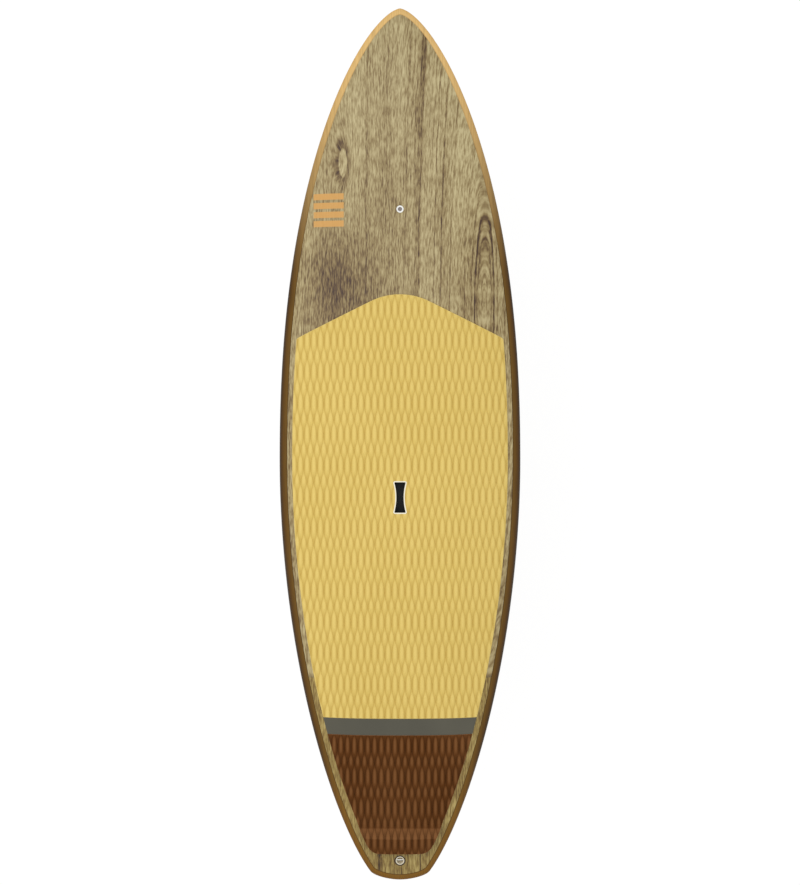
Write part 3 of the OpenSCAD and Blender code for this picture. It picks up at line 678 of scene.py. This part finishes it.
def smooth_sheet(half_width, rear, front, columns, rows):
    def place(across, along):
        y = between(rear, front, (along + 1) / 2)
        return np.stack([half_width * across, y, y * 0 + GROOVE_DEPTH], -1)

    return wrapped_grid(columns, rows, place)


def ramp(height):
    """The ramp's face, raised square to itself by height."""
    foot = float(deck_under([0.0], [RAMP_FOOT_Y])[0])
    rise = KICK_HEIGHT / RAMP_LENGTH
    raised = height * math.hypot(1, rise)
    return lambda x, y: foot + (RAMP_FOOT_Y - y) * rise + raised


def kick_top(x, y):
    return np.minimum(deck_under(x, y) + KICK_HEIGHT, ramp(0)(x, y))


def tail_pad_base(x, y):
    return np.maximum(deck_under(x, y), kick_top(x, y))


def tail_pad_top(x, y):
    raised = np.minimum(deck_under(x, y) + KICK_HEIGHT + PAD_T, ramp(PAD_T)(x, y))
    return np.maximum(deck_under(x, y) + PAD_T, raised)


stripe = laid_pad(
    "smooth_stripe",
    smooth_sheet(PAD_HALF, STRIPE_REAR - SPARE, STRIPE_FRONT + SPARE, 64, 12),
    stripe_cuts, "pad_stripe", on_deck(0), on_deck(STRIPE_T),
)
kick = laid_pad(
    "kick_foam_wedge", smooth_sheet(0.25, REAR_Y - SPARE, RAMP_FOOT_Y + 0.044, 64, 48),
    tail_pad_cuts, "kick_wedge", on_deck(0), kick_top,
)
tail_pad = laid_pad(
    "grooved_tail_pad",
    groove_sheet(TAIL_PAD_HALF, REAR_Y - SPARE, STRIPE_REAR + SPARE, ROW_STEP / 3),
    tail_pad_cuts, "tail_pad", tail_pad_base, tail_pad_top,
)

# %% [markdown]
# ## Laying out materials
# Every finish is built from nodes that read the object's own coordinates in metres, so
# a pattern keeps its real size. A few short words for adding and joining nodes keep the
# recipes readable. Colours are written as the 0 to 255 values of a paint chart.

# %% Words for node trees


def paint(red, green, blue):
    linear = [(c / 255 / 12.92) if c <= 10 else ((c / 255 + 0.055) / 1.055) ** 2.4
              for c in (red, green, blue)]
    return (*linear, 1.0)


def shades(places, *colours):
    """The stops of a colour ramp."""
    return [(place, paint(*colour)) for place, colour in zip(places, colours)]


class Recipe:
    """Adds and joins the nodes of one tree."""

    def __init__(self, tree):
        self.tree = tree

    def add(self, kind, **settings):
        node = self.tree.nodes.new("ShaderNode" + kind)
        for key, value in settings.items():
            setattr(node, key, value)
        return node

    def feed(self, socket, value):
        if isinstance(value, bpy.types.NodeSocket):
            self.tree.links.new(value, socket)
        elif value is not None:
            socket.default_value = value

    def fill(self, node, values):
        """Feeds sockets by their numbers or names, and gives the node's outputs."""
        for key, value in values.items():
            self.feed(node.inputs[key], value)
        return node.outputs

    def math(self, operation, *values):
        node = self.add("Math", operation=operation)
        return self.fill(node, dict(enumerate(values)))[0]

    def scaled(self, value, factor, added=0.0):
        return self.math("MULTIPLY_ADD", value, factor, added)

    def centred(self, value):
        return self.scaled(value, 1.0, -0.5)

    def times(self, first, second):
        return self.math("MULTIPLY", first, second)

    def plus(self, first, second):
        return self.math("ADD", first, second)

    def mix(self, amount, first, second):
        node = self.add("Mix", data_type="RGBA")
        return self.fill(node, {0: amount, 6: first, 7: second})[2]

    def vector(self, *values):
        return self.fill(self.add("CombineXYZ"), dict(enumerate(values)))[0]

    def split(self, vector):
        return self.fill(self.add("SeparateXYZ"), {0: vector})

    def noise(self, vector, scale=1.0, detail=2.0, roughness=0.5):
        return self.fill(self.add("TexNoise"), {
            "Vector": vector, "Scale": scale, "Detail": detail, "Roughness": roughness,
        })[0]

    def stretched(self, x, x_scale, y, y_scale, z=0.0, detail=2.0, roughness=0.5):
        """Noise with its own scale along each direction."""
        place = self.vector(self.scaled(x, x_scale), self.scaled(y, y_scale), z)
        return self.noise(place, 1.0, detail, roughness)

    def step(self, value, start, end, low=0.0, high=1.0):
        """A smooth step from low to high as value goes from start to end."""
        node = self.add("MapRange", interpolation_type="SMOOTHSTEP")
        return self.fill(node, dict(enumerate((value, start, end, low, high))))[0]

    def ramp(self, value, stops):
        """Colours or greys at places from 0 to 1."""
        node = self.add("ValToRGB")
        elements = node.color_ramp.elements
        while len(elements) < len(stops):
            elements.new(0.5)
        for element, (place, colour) in zip(elements, stops):
            element.position = place
            grey = isinstance(colour, (int, float))
            element.color = (colour, colour, colour, 1) if grey else colour
        return self.fill(node, {0: value})[0]

    def local(self, x, y, centre, size):
        """x and y counted from a centre, in units of size."""
        return [self.scaled(v, 1 / s, -c / s) for v, c, s in zip((x, y), centre, size)]

    def oval(self, x, y, centre, size):
        """0 at the centre of an oval, 1 on it and more outside."""
        dx, dy = self.local(x, y, centre, size)
        return self.scaled(dx, dx, self.times(dy, dy))

    def spot(self, x, y, centre, size):
        """1 at the centre of an oval, falling off smoothly to 0 at about twice size."""
        return self.math("EXPONENT", self.times(self.oval(x, y, centre, size), -1.0))

    def bump(self, height, strength, distance):
        return self.fill(self.add("Bump"), {
            "Height": height, "Strength": strength, "Distance": distance})[0]

    def mesh_value(self, name):
        return self.add("Attribute", attribute_name=name).outputs["Fac"]


def new_group(name, inputs, outputs):
    """A shader group's recipe, inputs and outputs. A socket is a value if no kind
    is given."""
    tree = bpy.data.node_groups.new(name, "ShaderNodeTree")
    kinds = {"": "NodeSocketFloat", "vector": "NodeSocketVector",
             "colour": "NodeSocketColor"}
    for in_out, sockets in (("INPUT", inputs), ("OUTPUT", outputs)):
        for socket, _, kind in (entry.partition(": ") for entry in sockets.split(", ")):
            tree.interface.new_socket(socket, in_out=in_out, socket_type=kinds[kind])
    inside = tree.nodes.new("NodeGroupInput").outputs
    outside = tree.nodes.new("NodeGroupOutput").inputs
    return Recipe(tree), inside, outside


def use_group(recipe, name, **values):
    """A socket's name is written with _ for a space."""
    node = recipe.tree.nodes.new("ShaderNodeGroup")
    node.node_tree = bpy.data.node_groups[name]
    return recipe.fill(node, {k.replace("_", " "): v for k, v in values.items()})


def new_material(name, roughness=0.5, specular=0.25, **settings):
    """A material with one Principled shader; settings are its plain sockets."""
    made = bpy.data.materials.new(name)
    made.use_nodes = True
    recipe = Recipe(made.node_tree)
    shader = made.node_tree.nodes["Principled BSDF"]
    shader.inputs["Roughness"].default_value = roughness
    shader.inputs["Specular IOR Level"].default_value = specular
    for socket, value in settings.items():
        shader.inputs[socket.replace("_", " ")].default_value = value
    place = recipe.add("TexCoord").outputs["Object"]
    return made, recipe, shader.inputs, place


def surfaced(made, recipe, shader, colour, roughness, *relief):
    """Joins a look to its shader; relief is the height, strength and distance."""
    recipe.feed(shader["Base Color"], colour)
    recipe.feed(shader["Roughness"], roughness)
    recipe.feed(shader["Normal"], recipe.bump(*relief))
    return made


def dress(made, material):
    made.data.materials.clear()
    made.data.materials.append(material)


# %% [markdown]
# ## The grain of flat-sawn veneer
# A veneer sheet is a slice along a log. Its lines are the year rings, cut where they
# pass the slice: far from the heart they run straight, and over the heart they close in
# tall arches. So the grain is drawn from the distance to the heart, which lies some way
# below the sheet and nearer to it towards the tail. Noise makes it wander. The group
# gives that distance, the fine year lines, streaks and flecks along the grain, pores,
# and a broad tone.

# %% Group for the grain
grain, wood_in, wood_out = new_group(
    "veneer_grain",
    "Place: vector, Heart X, Heart depth, Depth per metre, Ring width, Wander, Bulge,"
    " Seed",
    "Distance, Year line, Streak, Fleck, Pore, Tone",
)
x, y, _ = grain.split(wood_in["Place"])
seed, wander = wood_in["Seed"], wood_in["Wander"]
along = grain.noise(grain.vector(seed, grain.scaled(y, 1.6), 3.0))
heart_x = grain.scaled(grain.centred(along), wander, wood_in["Heart X"])
depth = grain.scaled(y, wood_in["Depth per metre"], wood_in["Heart depth"])
off = grain.math("SUBTRACT", x, heart_x)
radius = grain.math("SQRT", grain.scaled(off, off, grain.times(depth, depth)))
slow = grain.stretched(x, 4.5, y, 1.3, seed)
quick = grain.stretched(x, 30.0, y, 6.0, seed)
warp = grain.scaled(grain.centred(slow), wander, wood_in["Bulge"])
warp = grain.scaled(grain.centred(quick), 0.009, warp)
distance = grain.plus(radius, warp)
turns = grain.math("DIVIDE", distance, wood_in["Ring width"])
inside_ring = grain.math("FRACT", turns)
luck = grain.add("TexWhiteNoise", noise_dimensions="2D")
grain.feed(luck.inputs["Vector"], grain.vector(grain.math("FLOOR", turns), seed))
dark_edge = grain.times(grain.step(inside_ring, 0.45, 0.93),
                        grain.step(inside_ring, 0.95, 1.0, 1.0, 0.0))
line = grain.times(dark_edge, grain.scaled(luck.outputs["Value"], 0.8, 0.2))
fading = grain.stretched(distance, 90.0, y, 5.0, seed)
broad = grain.stretched(distance, 14.0, y, 1.1, seed)
figure = grain.stretched(x, 34.0, y, 15.0, seed, 3.0, 0.62)
grain_effects = {
    "Distance": distance,
    "Year line": grain.times(line, grain.step(fading, 0.3, 0.62, 0.25, 1.35)),
    "Streak": grain.stretched(distance, 210.0, y, 4.0, seed, 3.0, 0.6),
    "Fleck": grain.step(grain.stretched(distance, 260.0, y, 34.0, seed, 2.0, 0.6),
                        0.34, 0.68),
    "Pore": grain.step(grain.stretched(x, 760.0, y, 26.0, seed, 1.0), 0.56, 0.72),
    "Tone": grain.scaled(figure, 0.42, grain.scaled(broad, 0.58)),
}
for socket, value in grain_effects.items():
    grain.feed(wood_out[socket], value)
print("veneer grain:", len(grain.tree.nodes), "nodes")

# %% [markdown]
# A material then adds what is only on its own sheet: the strongest lines by their
# distance from the heart, knots, and broad dark and pale zones. All of it is summed to
# one darkness, which a ramp turns into colour, so that lines and shades stay related.

# %% Veneer materials
LINE_SPAN = 0.64
KNOT_RINGS = ((0.8, 1.0, -0.16, 0.0), (0.9, 1.2, 0.0, 0.34), (1.4, 5.0, 0.0, -0.34))
ORANGE = paint(206, 154, 82)


def strong_lines(recipe, distance, lines):
    """lines are (distance in metres, half width, darkness): slow rise, sharp end."""
    def corners(centre, half):
        return centre - 2.2 * half, centre, centre + half

    def darkness(at):
        return max(dark * float(np.interp(at, corners(centre, half), (0, 1, 0)))
                   for centre, half, dark in lines)

    places = {0.0, *(at for centre, half, _ in lines for at in corners(centre, half))}
    stops = [(at / LINE_SPAN, darkness(at)) for at in sorted(places)]
    return recipe.ramp(recipe.scaled(distance, 1 / LINE_SPAN), stops)


def with_bars(recipe, x, y, colour, centre, size, count):
    """Plain orange bars across a rectangle of the sheet."""
    across, up = recipe.local(x, y, centre, size)
    inside = recipe.times(*(
        recipe.math("LESS_THAN", recipe.math("ABSOLUTE", value), 0.5)
        for value in (across, up)))
    turn = recipe.math("FRACT", recipe.scaled(up, count, count / 2))
    mask = recipe.times(inside, recipe.math("LESS_THAN", turn, 0.68))
    return recipe.mix(recipe.times(mask, 0.92), colour, ORANGE)


def veneer(name, colours, heart, lines, knots=(), zones=(), joints=(), bars=None,
           seed=0.0, coat=0.12, ring=0.0105):
    """heart is (x, depth at y = 0, depth per metre, wander)."""
    made, recipe, shader, place = new_material(name, 0.45, Coat_Weight=coat,
                                               Coat_Roughness=0.22)
    x, y, _ = recipe.split(place)
    bulge = 0.0
    for centre, size, lift in knots:
        around = recipe.spot(x, y, centre, [s * 1.9 for s in size])
        bulge = recipe.scaled(around, lift, bulge)
    wood = use_group(
        recipe, "veneer_grain", Place=place, Bulge=bulge, Seed=seed, Heart_X=heart[0],
        Heart_depth=heart[1], Depth_per_metre=heart[2], Wander=heart[3],
        Ring_width=ring,
    )
    dark = recipe.scaled(wood["Year line"], 0.17, -0.03)
    for effect, amount in (("Streak", 0.28), ("Fleck", 0.44), ("Pore", 0.12)):
        dark = recipe.scaled(wood[effect], amount, dark)
    dark = recipe.scaled(recipe.centred(wood["Tone"]), 1.25, dark)
    strong = recipe.scaled(strong_lines(recipe, wood["Distance"], lines), 0.8)
    dark = recipe.scaled(strong, recipe.scaled(wood["Streak"], 1.3, 0.25), dark)
    for centre, size, amount in zones:
        dark = recipe.scaled(recipe.spot(x, y, centre, size), amount, dark)
    for centre, size, _ in knots:
        eye = recipe.oval(x, y, centre, size)
        for bounds in KNOT_RINGS:
            dark = recipe.plus(dark, recipe.step(eye, *bounds))
    for at, shade in joints:
        gap = recipe.math("ABSOLUTE", recipe.math("SUBTRACT", x, at))
        dark = recipe.plus(dark, recipe.step(gap, 0.0003, 0.0022, 0.32, 0.0))
        dark = recipe.scaled(recipe.step(x, at, at + 0.0008), shade, dark)
    colour = recipe.ramp(dark, colours)
    if bars:
        colour = with_bars(recipe, x, y, colour, *bars)
    return surfaced(made, recipe, shader, colour,
                    recipe.scaled(wood["Streak"], 0.12, 0.38), wood["Pore"], 0.12,
                    0.0002)


WOOD_STOPS = (0.0, 0.30, 0.55, 0.80, 1.0)
DECK_COLOURS = shades(WOOD_STOPS, (192, 178, 134), (165, 148, 106), (136, 116, 76),
                      (99, 77, 48), (64, 44, 32))
TAIL_COLOURS = shades(WOOD_STOPS, (178, 158, 98), (150, 128, 72), (122, 98, 50),
                      (88, 66, 34), (58, 40, 24))

dress(deck_skin, veneer(
    "deck_veneer_under_satin_coat", DECK_COLOURS, (0.257, -0.052, 0.115, 0.010),
    [(0.362, 0.0016, 0.5), (0.244, 0.0016, 0.5), (0.202, 0.0022, 0.8),
     (0.212, 0.009, 0.28), (0.156, 0.0014, 0.4), (0.135, 0.0016, 0.5),
     (0.107, 0.0022, 0.5), (0.064, 0.0016, 0.4), (0.030, 0.0020, 0.7),
     (0.023, 0.0018, 0.6)],
    knots=[((-0.172, 0.868), (0.0130, 0.042), 0.024)],
    zones=[((-0.02, 0.60), (0.022, 0.28), 0.12), ((-0.19, 0.50), (0.090, 0.17), 0.48),
           ((0.235, 0.49), (0.060, 0.16), 0.20),
           ((-0.18, 1.03), (0.05, 0.10), -0.12), ((0.20, 0.92), (0.06, 0.20), -0.12)],
    bars=((-0.216, 0.733), (0.092, 0.108), 4), seed=2.0,
))
dress(bottom_skin, veneer(
    "bottom_veneer_under_gloss_coat", DECK_COLOURS, (0.034, 0.0693, 0.0393, 0.013),
    [(0.120, 0.0026, 0.8), (0.1055, 0.0016, 0.6), (0.1015, 0.0016, 0.6),
     (0.092, 0.0022, 0.6), (0.165, 0.0016, 0.45), (0.217, 0.0018, 0.5),
     (0.270, 0.0016, 0.4), (0.078, 0.0016, 0.4), (0.062, 0.0018, 0.5)],
    knots=[((0.209, 0.935), (0.0135, 0.040), 0.022)],
    zones=[((0.0, 1.26), (0.05, 0.05), 0.2), ((0.0, 0.88), (0.30, 0.34), -0.26),
           ((0.19, -0.48), (0.13, 0.26), 0.24), ((0.1, 0.1), (0.06, 0.4), -0.06)],
    bars=((0.0, 0.0055), (0.165, 0.805), 8), seed=9.0, coat=0.2, ring=0.0125,
))
dress(tail_deck_skin, veneer(
    "tail_deck_veneer", TAIL_COLOURS, (0.42, 0.02, 0.05, 0.008),
    [(0.485, 0.006, 0.75), (0.40, 0.0016, 0.4), (0.44, 0.0014, 0.35),
     (0.36, 0.0016, 0.4)],
    joints=[(-0.031, 0.06), (0.0055, -0.10), (0.061, 0.05)], seed=4.0, ring=0.009,
))
dress(tail_bottom_skin, veneer(
    "tail_bottom_veneer", TAIL_COLOURS, (0.009, 0.163, 0.148, 0.008),
    [(0.020, 0.0018, 0.6), (0.032, 0.0016, 0.5), (0.070, 0.0016, 0.4),
     (0.150, 0.0016, 0.4)],
    joints=[(-0.078, -0.05), (0.055, 0.06), (-0.19, 0.04), (0.17, -0.04)],
    seed=6.0, coat=0.2, ring=0.010,
))
print("veneers dressed")

# %% [markdown]
# ## The burst on the rails
# The rails are sprayed like a guitar body: clear golden wood where they meet the deck,
# through brown, to nearly black under the board, with hairlike streaks where the dark
# coat was feathered out. Towards the nose the deck side turns pale and rosy. The value
# that runs round each section, made with the mesh, places the bands.

# %% Rail material
rail_wood, rails, rail_shader, rail_place = new_material("burst_stained_rail", 0.35,
                                                         0.12)
x, y, _ = rails.split(rail_place)
turn_round = rails.mesh_value("round_rail")
hair = rails.stretched(turn_round, 3.0, y, 260.0, 0.0, 3.0, 0.6)
drift = rails.stretched(turn_round, 2.0, y, 9.0)
streaks = rails.stretched(x, 260.0, y, 14.0, 0.0, 3.0)
feathered = rails.step(turn_round, 0.12, 0.5, 0.0, 0.28)
hairy = rails.scaled(rails.centred(hair), feathered, turn_round)
hairy = rails.scaled(rails.centred(drift), rails.scaled(feathered, 0.3), hairy)
burst = rails.ramp(hairy, shades(
    (0.0, 0.03, 0.14, 0.26, 0.40, 0.56, 0.74, 1.0),
    (60, 40, 14), (108, 78, 28), (96, 66, 20), (70, 46, 12), (42, 28, 8), (30, 20, 10),
    (24, 18, 17), (26, 20, 20)))
pale_nose = rails.ramp(hairy, shades(
    (0.0, 0.05, 0.35, 0.50, 0.60, 0.72, 1.0),
    (206, 164, 100), (226, 188, 122), (223, 180, 112), (206, 164, 104), (150, 108, 66),
    (50, 38, 28), (30, 23, 23)))
gold_tail = rails.ramp(hairy, shades(
    (0.0, 0.05, 0.45, 0.60, 0.74, 1.0),
    (80, 54, 20), (130, 92, 32), (112, 72, 14), (60, 40, 16), (26, 20, 18),
    (26, 20, 20)))
coat_colour = rails.mix(rails.step(y, 0.48, 1.22), burst, pale_nose)
coat_colour = rails.mix(rails.step(y, -0.85, -1.20), coat_colour, gold_tail)
coat_colour = rails.mix(rails.step(streaks, 0.35, 0.75, 0.0, 0.22), coat_colour,
                        paint(44, 30, 16))
rails.feed(rail_shader["Base Color"], coat_colour)
rails.feed(rail_shader["Roughness"], rails.scaled(streaks, 0.15, 0.26))
for side in (left_rail, right_rail):
    dress(side, rail_wood)
print("rails dressed")

# %% [markdown]
# ## Pad foam
# Closed-cell foam is matt and full of tiny cells. The chamfered edge is painted paler,
# and the milled grooves get painted shade and dust. Each pillow gets a painted highlight
# on one flank and painted shade on the other, and the sheet's colour drifts a little
# along its length.

# %% Foam group and pad materials
foam, foam_in, foam_out = new_group(
    "cut_foam",
    "Place: vector, Face: colour, Groove: colour, Edge: colour, In groove, On edge,"
    " Pillows",
    "Colour: colour, Cells, Roughness",
)
face, groove, edge = (foam_in[name] for name in ("Face", "Groove", "Edge"))
cells = foam.noise(foam_in["Place"], 1900.0, 2.0, 0.7)
x, y, _ = foam.split(foam_in["Place"])
clouds = foam.stretched(x, 5.0, y, 3.0, 0.0, 3.0)
# Painted highlight and painted shade on each pillow: the lens pattern below, scaled by
# Pillows, mixes one flank towards the pale edge colour and the other towards the groove
# colour.
row_turn = foam.scaled(y, 2 * math.pi / LENS_LENGTH, -0.5)
row_wave = foam.math("COSINE", foam.scaled(foam.math("SINE", row_turn), 0.35, row_turn))
column_wave = foam.math("SINE", foam.scaled(x, -2 * math.pi / LENS_WIDTH))
pillow = foam.times(row_wave, column_wave)
lit = foam.times(foam.step(pillow, -0.1, 0.95, 0.0, 0.5), foam_in["Pillows"])
shaded = foam.times(foam.step(pillow, 0.15, -0.8, 0.0, 0.45), foam_in["Pillows"])
colour = face
for amount, other in (
        (foam.step(clouds, 0.25, 0.75, 0.0, 0.22), edge), (lit, edge), (shaded, groove),
        # Painted shade and dust down in the milled grooves.
        (foam.times(foam_in["In groove"], 0.45), groove),
        # Then foam cells, and the chamfered edge painted paler.
        (foam.step(cells, 0.35, 0.8, 0.0, 0.16), groove), (foam_in["On edge"], edge)):
    colour = foam.mix(amount, colour, other)
foam.feed(foam_out["Colour"], colour)
foam.feed(foam_out["Cells"], cells)
foam.feed(foam_out["Roughness"], foam.scaled(cells, 0.15, 0.72))


# pillows sets how strong the painted highlight and painted shade on each pillow are.
def pad_foam(name, face, groove, edge, pillows=0.0, ramp_highlight=0.0):
    """The last argument is how much paler the foam is painted on the ramp:
    a painted highlight where its slope faces the light.
    """
    made, recipe, shader, place = new_material(name, 0.8, 0.1)
    face, groove, edge = paint(*face), paint(*groove), paint(*edge)
    if ramp_highlight:
        # Painted highlight on the ramp: the face colour is mixed towards the pale edge
        # colour there.
        y, ramp_top = recipe.split(place)[1], RAMP_FOOT_Y - RAMP_LENGTH
        ramp_light_mask = recipe.times(
            recipe.step(y, RAMP_FOOT_Y, RAMP_FOOT_Y - 0.006),
            recipe.step(y, ramp_top, ramp_top - 0.004, ramp_highlight, 0.0))
        face = recipe.mix(ramp_light_mask, face, edge)
    look = use_group(
        recipe, "cut_foam", Place=place, Face=face, Groove=groove, Edge=edge,
        Pillows=pillows, In_groove=recipe.mesh_value("pad_groove"),
        On_edge=recipe.mesh_value("pad_edge"),
    )
    return surfaced(made, recipe, shader, look["Colour"], look["Roughness"],
                    look["Cells"], 0.25, 0.0003)


dress(deck_pad, pad_foam("straw_pad_foam", (213, 185, 101), (190, 158, 78),
                         (234, 208, 126), 1.0))
dress(stripe, pad_foam("slate_stripe_foam", (86, 84, 74), (68, 66, 58),
                       (116, 112, 98)))
dress(tail_pad, pad_foam("brown_pad_foam", (85, 47, 12), (60, 32, 6), (136, 92, 54),
                         1.0, 0.56))
dress(kick, pad_foam("black_kick_foam", (30, 29, 29), (18, 18, 18), (48, 46, 46)))
print("pads dressed")

# %% [markdown]
# ## The fittings
# The small fittings keep their CAD mesh, which already has their true edges, bores and
# slots. Moulded plastic gets a faint mottle and a fine skin texture, and metal the same
# with a finer grain. Foam beads, plies and dense foam are inside the board, and show
# when it is opened up.

# %% Groups for moulded, metal and bead surfaces
mould, mould_in, mould_out = new_group(
    "moulded_skin", "Place: vector, Colour: colour, Worn colour: colour, Grain size",
    "Colour: colour, Roughness, Height",
)
patches = mould.noise(mould_in["Place"], 90.0, 3.0)
grain_place = mould.fill(mould.add("VectorMath", operation="SCALE"),
                         {0: mould_in["Place"], "Scale": mould_in["Grain size"]})[0]
mould.feed(mould_out["Colour"], mould.mix(mould.step(patches, 0.35, 0.8, 0.0, 0.5),
                                          mould_in["Colour"],
                                          mould_in["Worn colour"]))
mould.feed(mould_out["Roughness"], mould.scaled(patches, 0.2, 0.28))
mould.feed(mould_out["Height"], mould.noise(grain_place, 1.0, 1.0))

beads, beads_in, beads_out = new_group(
    "foam_beads", "Place: vector, Bead: colour, Gap: colour, Size",
    "Colour: colour, Height",
)
cell = beads.add("TexVoronoi", feature="DISTANCE_TO_EDGE")
bead_scale = beads.math("DIVIDE", 1.0, beads_in["Size"])
to_edge = beads.fill(cell, {"Vector": beads_in["Place"], "Scale": bead_scale})[0]
bead = beads.step(to_edge, 0.0, 0.12)
beads.feed(beads_out["Colour"], beads.mix(bead, beads_in["Gap"], beads_in["Bead"]))
beads.feed(beads_out["Height"], bead)


def moulded(name, colour, worn, grain_size=1500.0, relief=0.1, roughness_added=0.0,
            **settings):
    made, recipe, shader, place = new_material(name, 0.4, **settings)
    look = use_group(recipe, "moulded_skin", Place=place, Colour=paint(*colour),
                     Worn_colour=paint(*worn), Grain_size=grain_size)
    rough = recipe.scaled(look["Roughness"], 1.0, roughness_added)
    return surfaced(made, recipe, shader, look["Colour"], rough, look["Height"], relief,
                    0.0001)


def beaded(name, bead, gap, size):
    made, recipe, shader, place = new_material(name, 0.85)
    look = use_group(recipe, "foam_beads", Place=place, Bead=paint(*bead),
                     Gap=paint(*gap), Size=size)
    return surfaced(made, recipe, shader, look["Colour"], None, look["Height"], 0.4,
                    0.0004)


def plied_wood(name, light, dark, ply):
    """Plywood on edge: thin plies one after another across the sheet."""
    made, recipe, shader, place = new_material(name, 0.6)
    x, y, z = recipe.split(place)
    layer = recipe.math("FRACT", recipe.scaled(x, 1 / ply, 0.5))
    glue = recipe.math("LESS_THAN", layer, 0.12)
    fibre = recipe.stretched(x, 3000.0, y, 20.0, recipe.scaled(z, 700.0))
    shade = recipe.scaled(glue, 0.6, recipe.scaled(fibre, 0.5))
    colour = recipe.mix(shade, paint(*light), paint(*dark))
    return surfaced(made, recipe, shader, colour, None, fibre, 0.2, 0.0002)


# %% Finishes for the nodes whose names match a pattern
FINISHES = {
    "foam_core_*": beaded("expanded_bead_foam", (244, 244, 238), (214, 214, 206),
                          0.004),
    "stringer": plied_wood("plywood_stringer", (206, 172, 122), (120, 84, 50), 0.0011),
    "*_insert*": beaded("dense_mounting_foam", (216, 194, 140), (186, 160, 106),
                        0.0009),
    "handle_cup": moulded("black_handle_cup", (22, 22, 23), (34, 34, 35), 1200.0, 0.4,
                          0.15),
    "handle_bezel": moulded("cream_handle_ring", (236, 230, 210), (222, 213, 188)),
    "vent_body": moulded("white_vent_flange", (238, 238, 234), (222, 221, 214)),
    "vent_screw": moulded("grey_vent_screw", (112, 106, 104), (88, 84, 82), 2600.0, 0.3,
                          -0.05, Metallic=1.0),
    "vent_seal": moulded("seal_rubber", (24, 24, 24), (40, 40, 40), 900.0, 0.3, 0.3),
    "vent_membrane": moulded("porous_membrane", (240, 240, 238), (224, 224, 220),
                             6000.0, 0.6, 0.35),
    "leash_plug": moulded("pale_leash_plug", (226, 216, 192), (208, 196, 168)),
    "leash_pin": moulded("steel_leash_pin", (196, 196, 192), (160, 160, 158), 2600.0,
                         0.2, -0.1, Metallic=1.0),
    "leash_collar": moulded("dark_resin_collar", (46, 36, 28), (66, 52, 40), 700.0, 0.2,
                            -0.05),
    "fin_box_*": moulded("charcoal_fin_box", (52, 47, 45), (66, 60, 57), 1100.0, 0.4,
                         0.08),
    "fin_screw_*": moulded("steel_fin_screw", (188, 189, 190), (150, 151, 153), 2600.0,
                           0.2, -0.1, Metallic=1.0),
}
for pattern, finish in FINISHES.items():
    for node in fnmatch.filter(frame["nodes"], pattern):
        dress(frame["nodes"][node], finish)
print("finishes:", len(bpy.data.materials))

# %% [markdown]
# ## Light and backdrop
# An even white sky lights the board at the level where a paint's colour comes out about
# as written. One large soft lamp overhead gives the dome and the grooves their shade.
# The floor lies well under the board, so that the shadow is faint and the underside can
# be seen too, and both floor and sky look white to the camera.

# %% Sky, lamp and floor
SKY_LEVEL = 0.78
LAMP_POWER = 32.0
FLOOR_Z, FLOOR_SIZE, FLOOR_GLOW = -0.9, 9, 1.08


def ray_sees(recipe):
    """1 for the rays that look at, mirror or pass through to the backdrop."""
    rays = recipe.add("LightPath").outputs
    bent = recipe.math("MAXIMUM", rays["Is Glossy Ray"], rays["Is Transmission Ray"])
    return recipe.math("MAXIMUM", rays["Is Camera Ray"], bent)


def either(recipe, amount, first, second):
    return recipe.fill(recipe.add("MixShader"), {0: amount, 1: first, 2: second})[0]


world = bpy.data.worlds.new("white_sky")
world.use_nodes = True
bpy.context.scene.world = world
sky = Recipe(world.node_tree)
sky.fill(world.node_tree.nodes["Background"], {
    "Color": (1, 1, 1, 1),
    "Strength": sky.scaled(ray_sees(sky), 1 - SKY_LEVEL, SKY_LEVEL),
})

lamp = bpy.data.objects.new("soft_lamp", bpy.data.lights.new("soft_lamp", "AREA"))
lamp.data.shape = "RECTANGLE"
lamp.data.size, lamp.data.size_y = 2.2, 3.2
lamp.data.energy = LAMP_POWER
lamp.location = (-0.9, 0.1, 2.7)
lamp.rotation_mode = "QUATERNION"
lamp.rotation_quaternion = lamp.location.to_track_quat("Z", "Y")
bpy.context.scene.collection.objects.link(lamp)

floor_shape = bmesh.new()
bmesh.ops.create_grid(floor_shape, x_segments=1, y_segments=1, size=FLOOR_SIZE)
bmesh.ops.translate(floor_shape, verts=floor_shape.verts, vec=(0, 0, FLOOR_Z))
floor = loose("studio_floor", floor_shape, closed=False)
floor_paint = bpy.data.materials.new("white_studio_floor")
floor_paint.use_nodes = True
ground = Recipe(floor_paint.node_tree)
painted = ground.fill(floor_paint.node_tree.nodes["Principled BSDF"],
                      {"Base Color": (0.9, 0.9, 0.9, 1), "Roughness": 0.9})[0]
glow = ground.fill(ground.add("Emission"), {"Strength": FLOOR_GLOW})[0]
clear = ground.add("BsdfTransparent").outputs[0]
above = either(ground, ground.times(ray_sees(ground), 0.8), painted, glow)
from_below = ground.add("NewGeometry").outputs["Backfacing"]
ground.feed(floor_paint.node_tree.nodes["Material Output"].inputs["Surface"],
            either(ground, from_below, above, clear))
dress(floor, floor_paint)
bpy.context.scene.view_settings.view_transform = "Standard"
print("lit and staged")
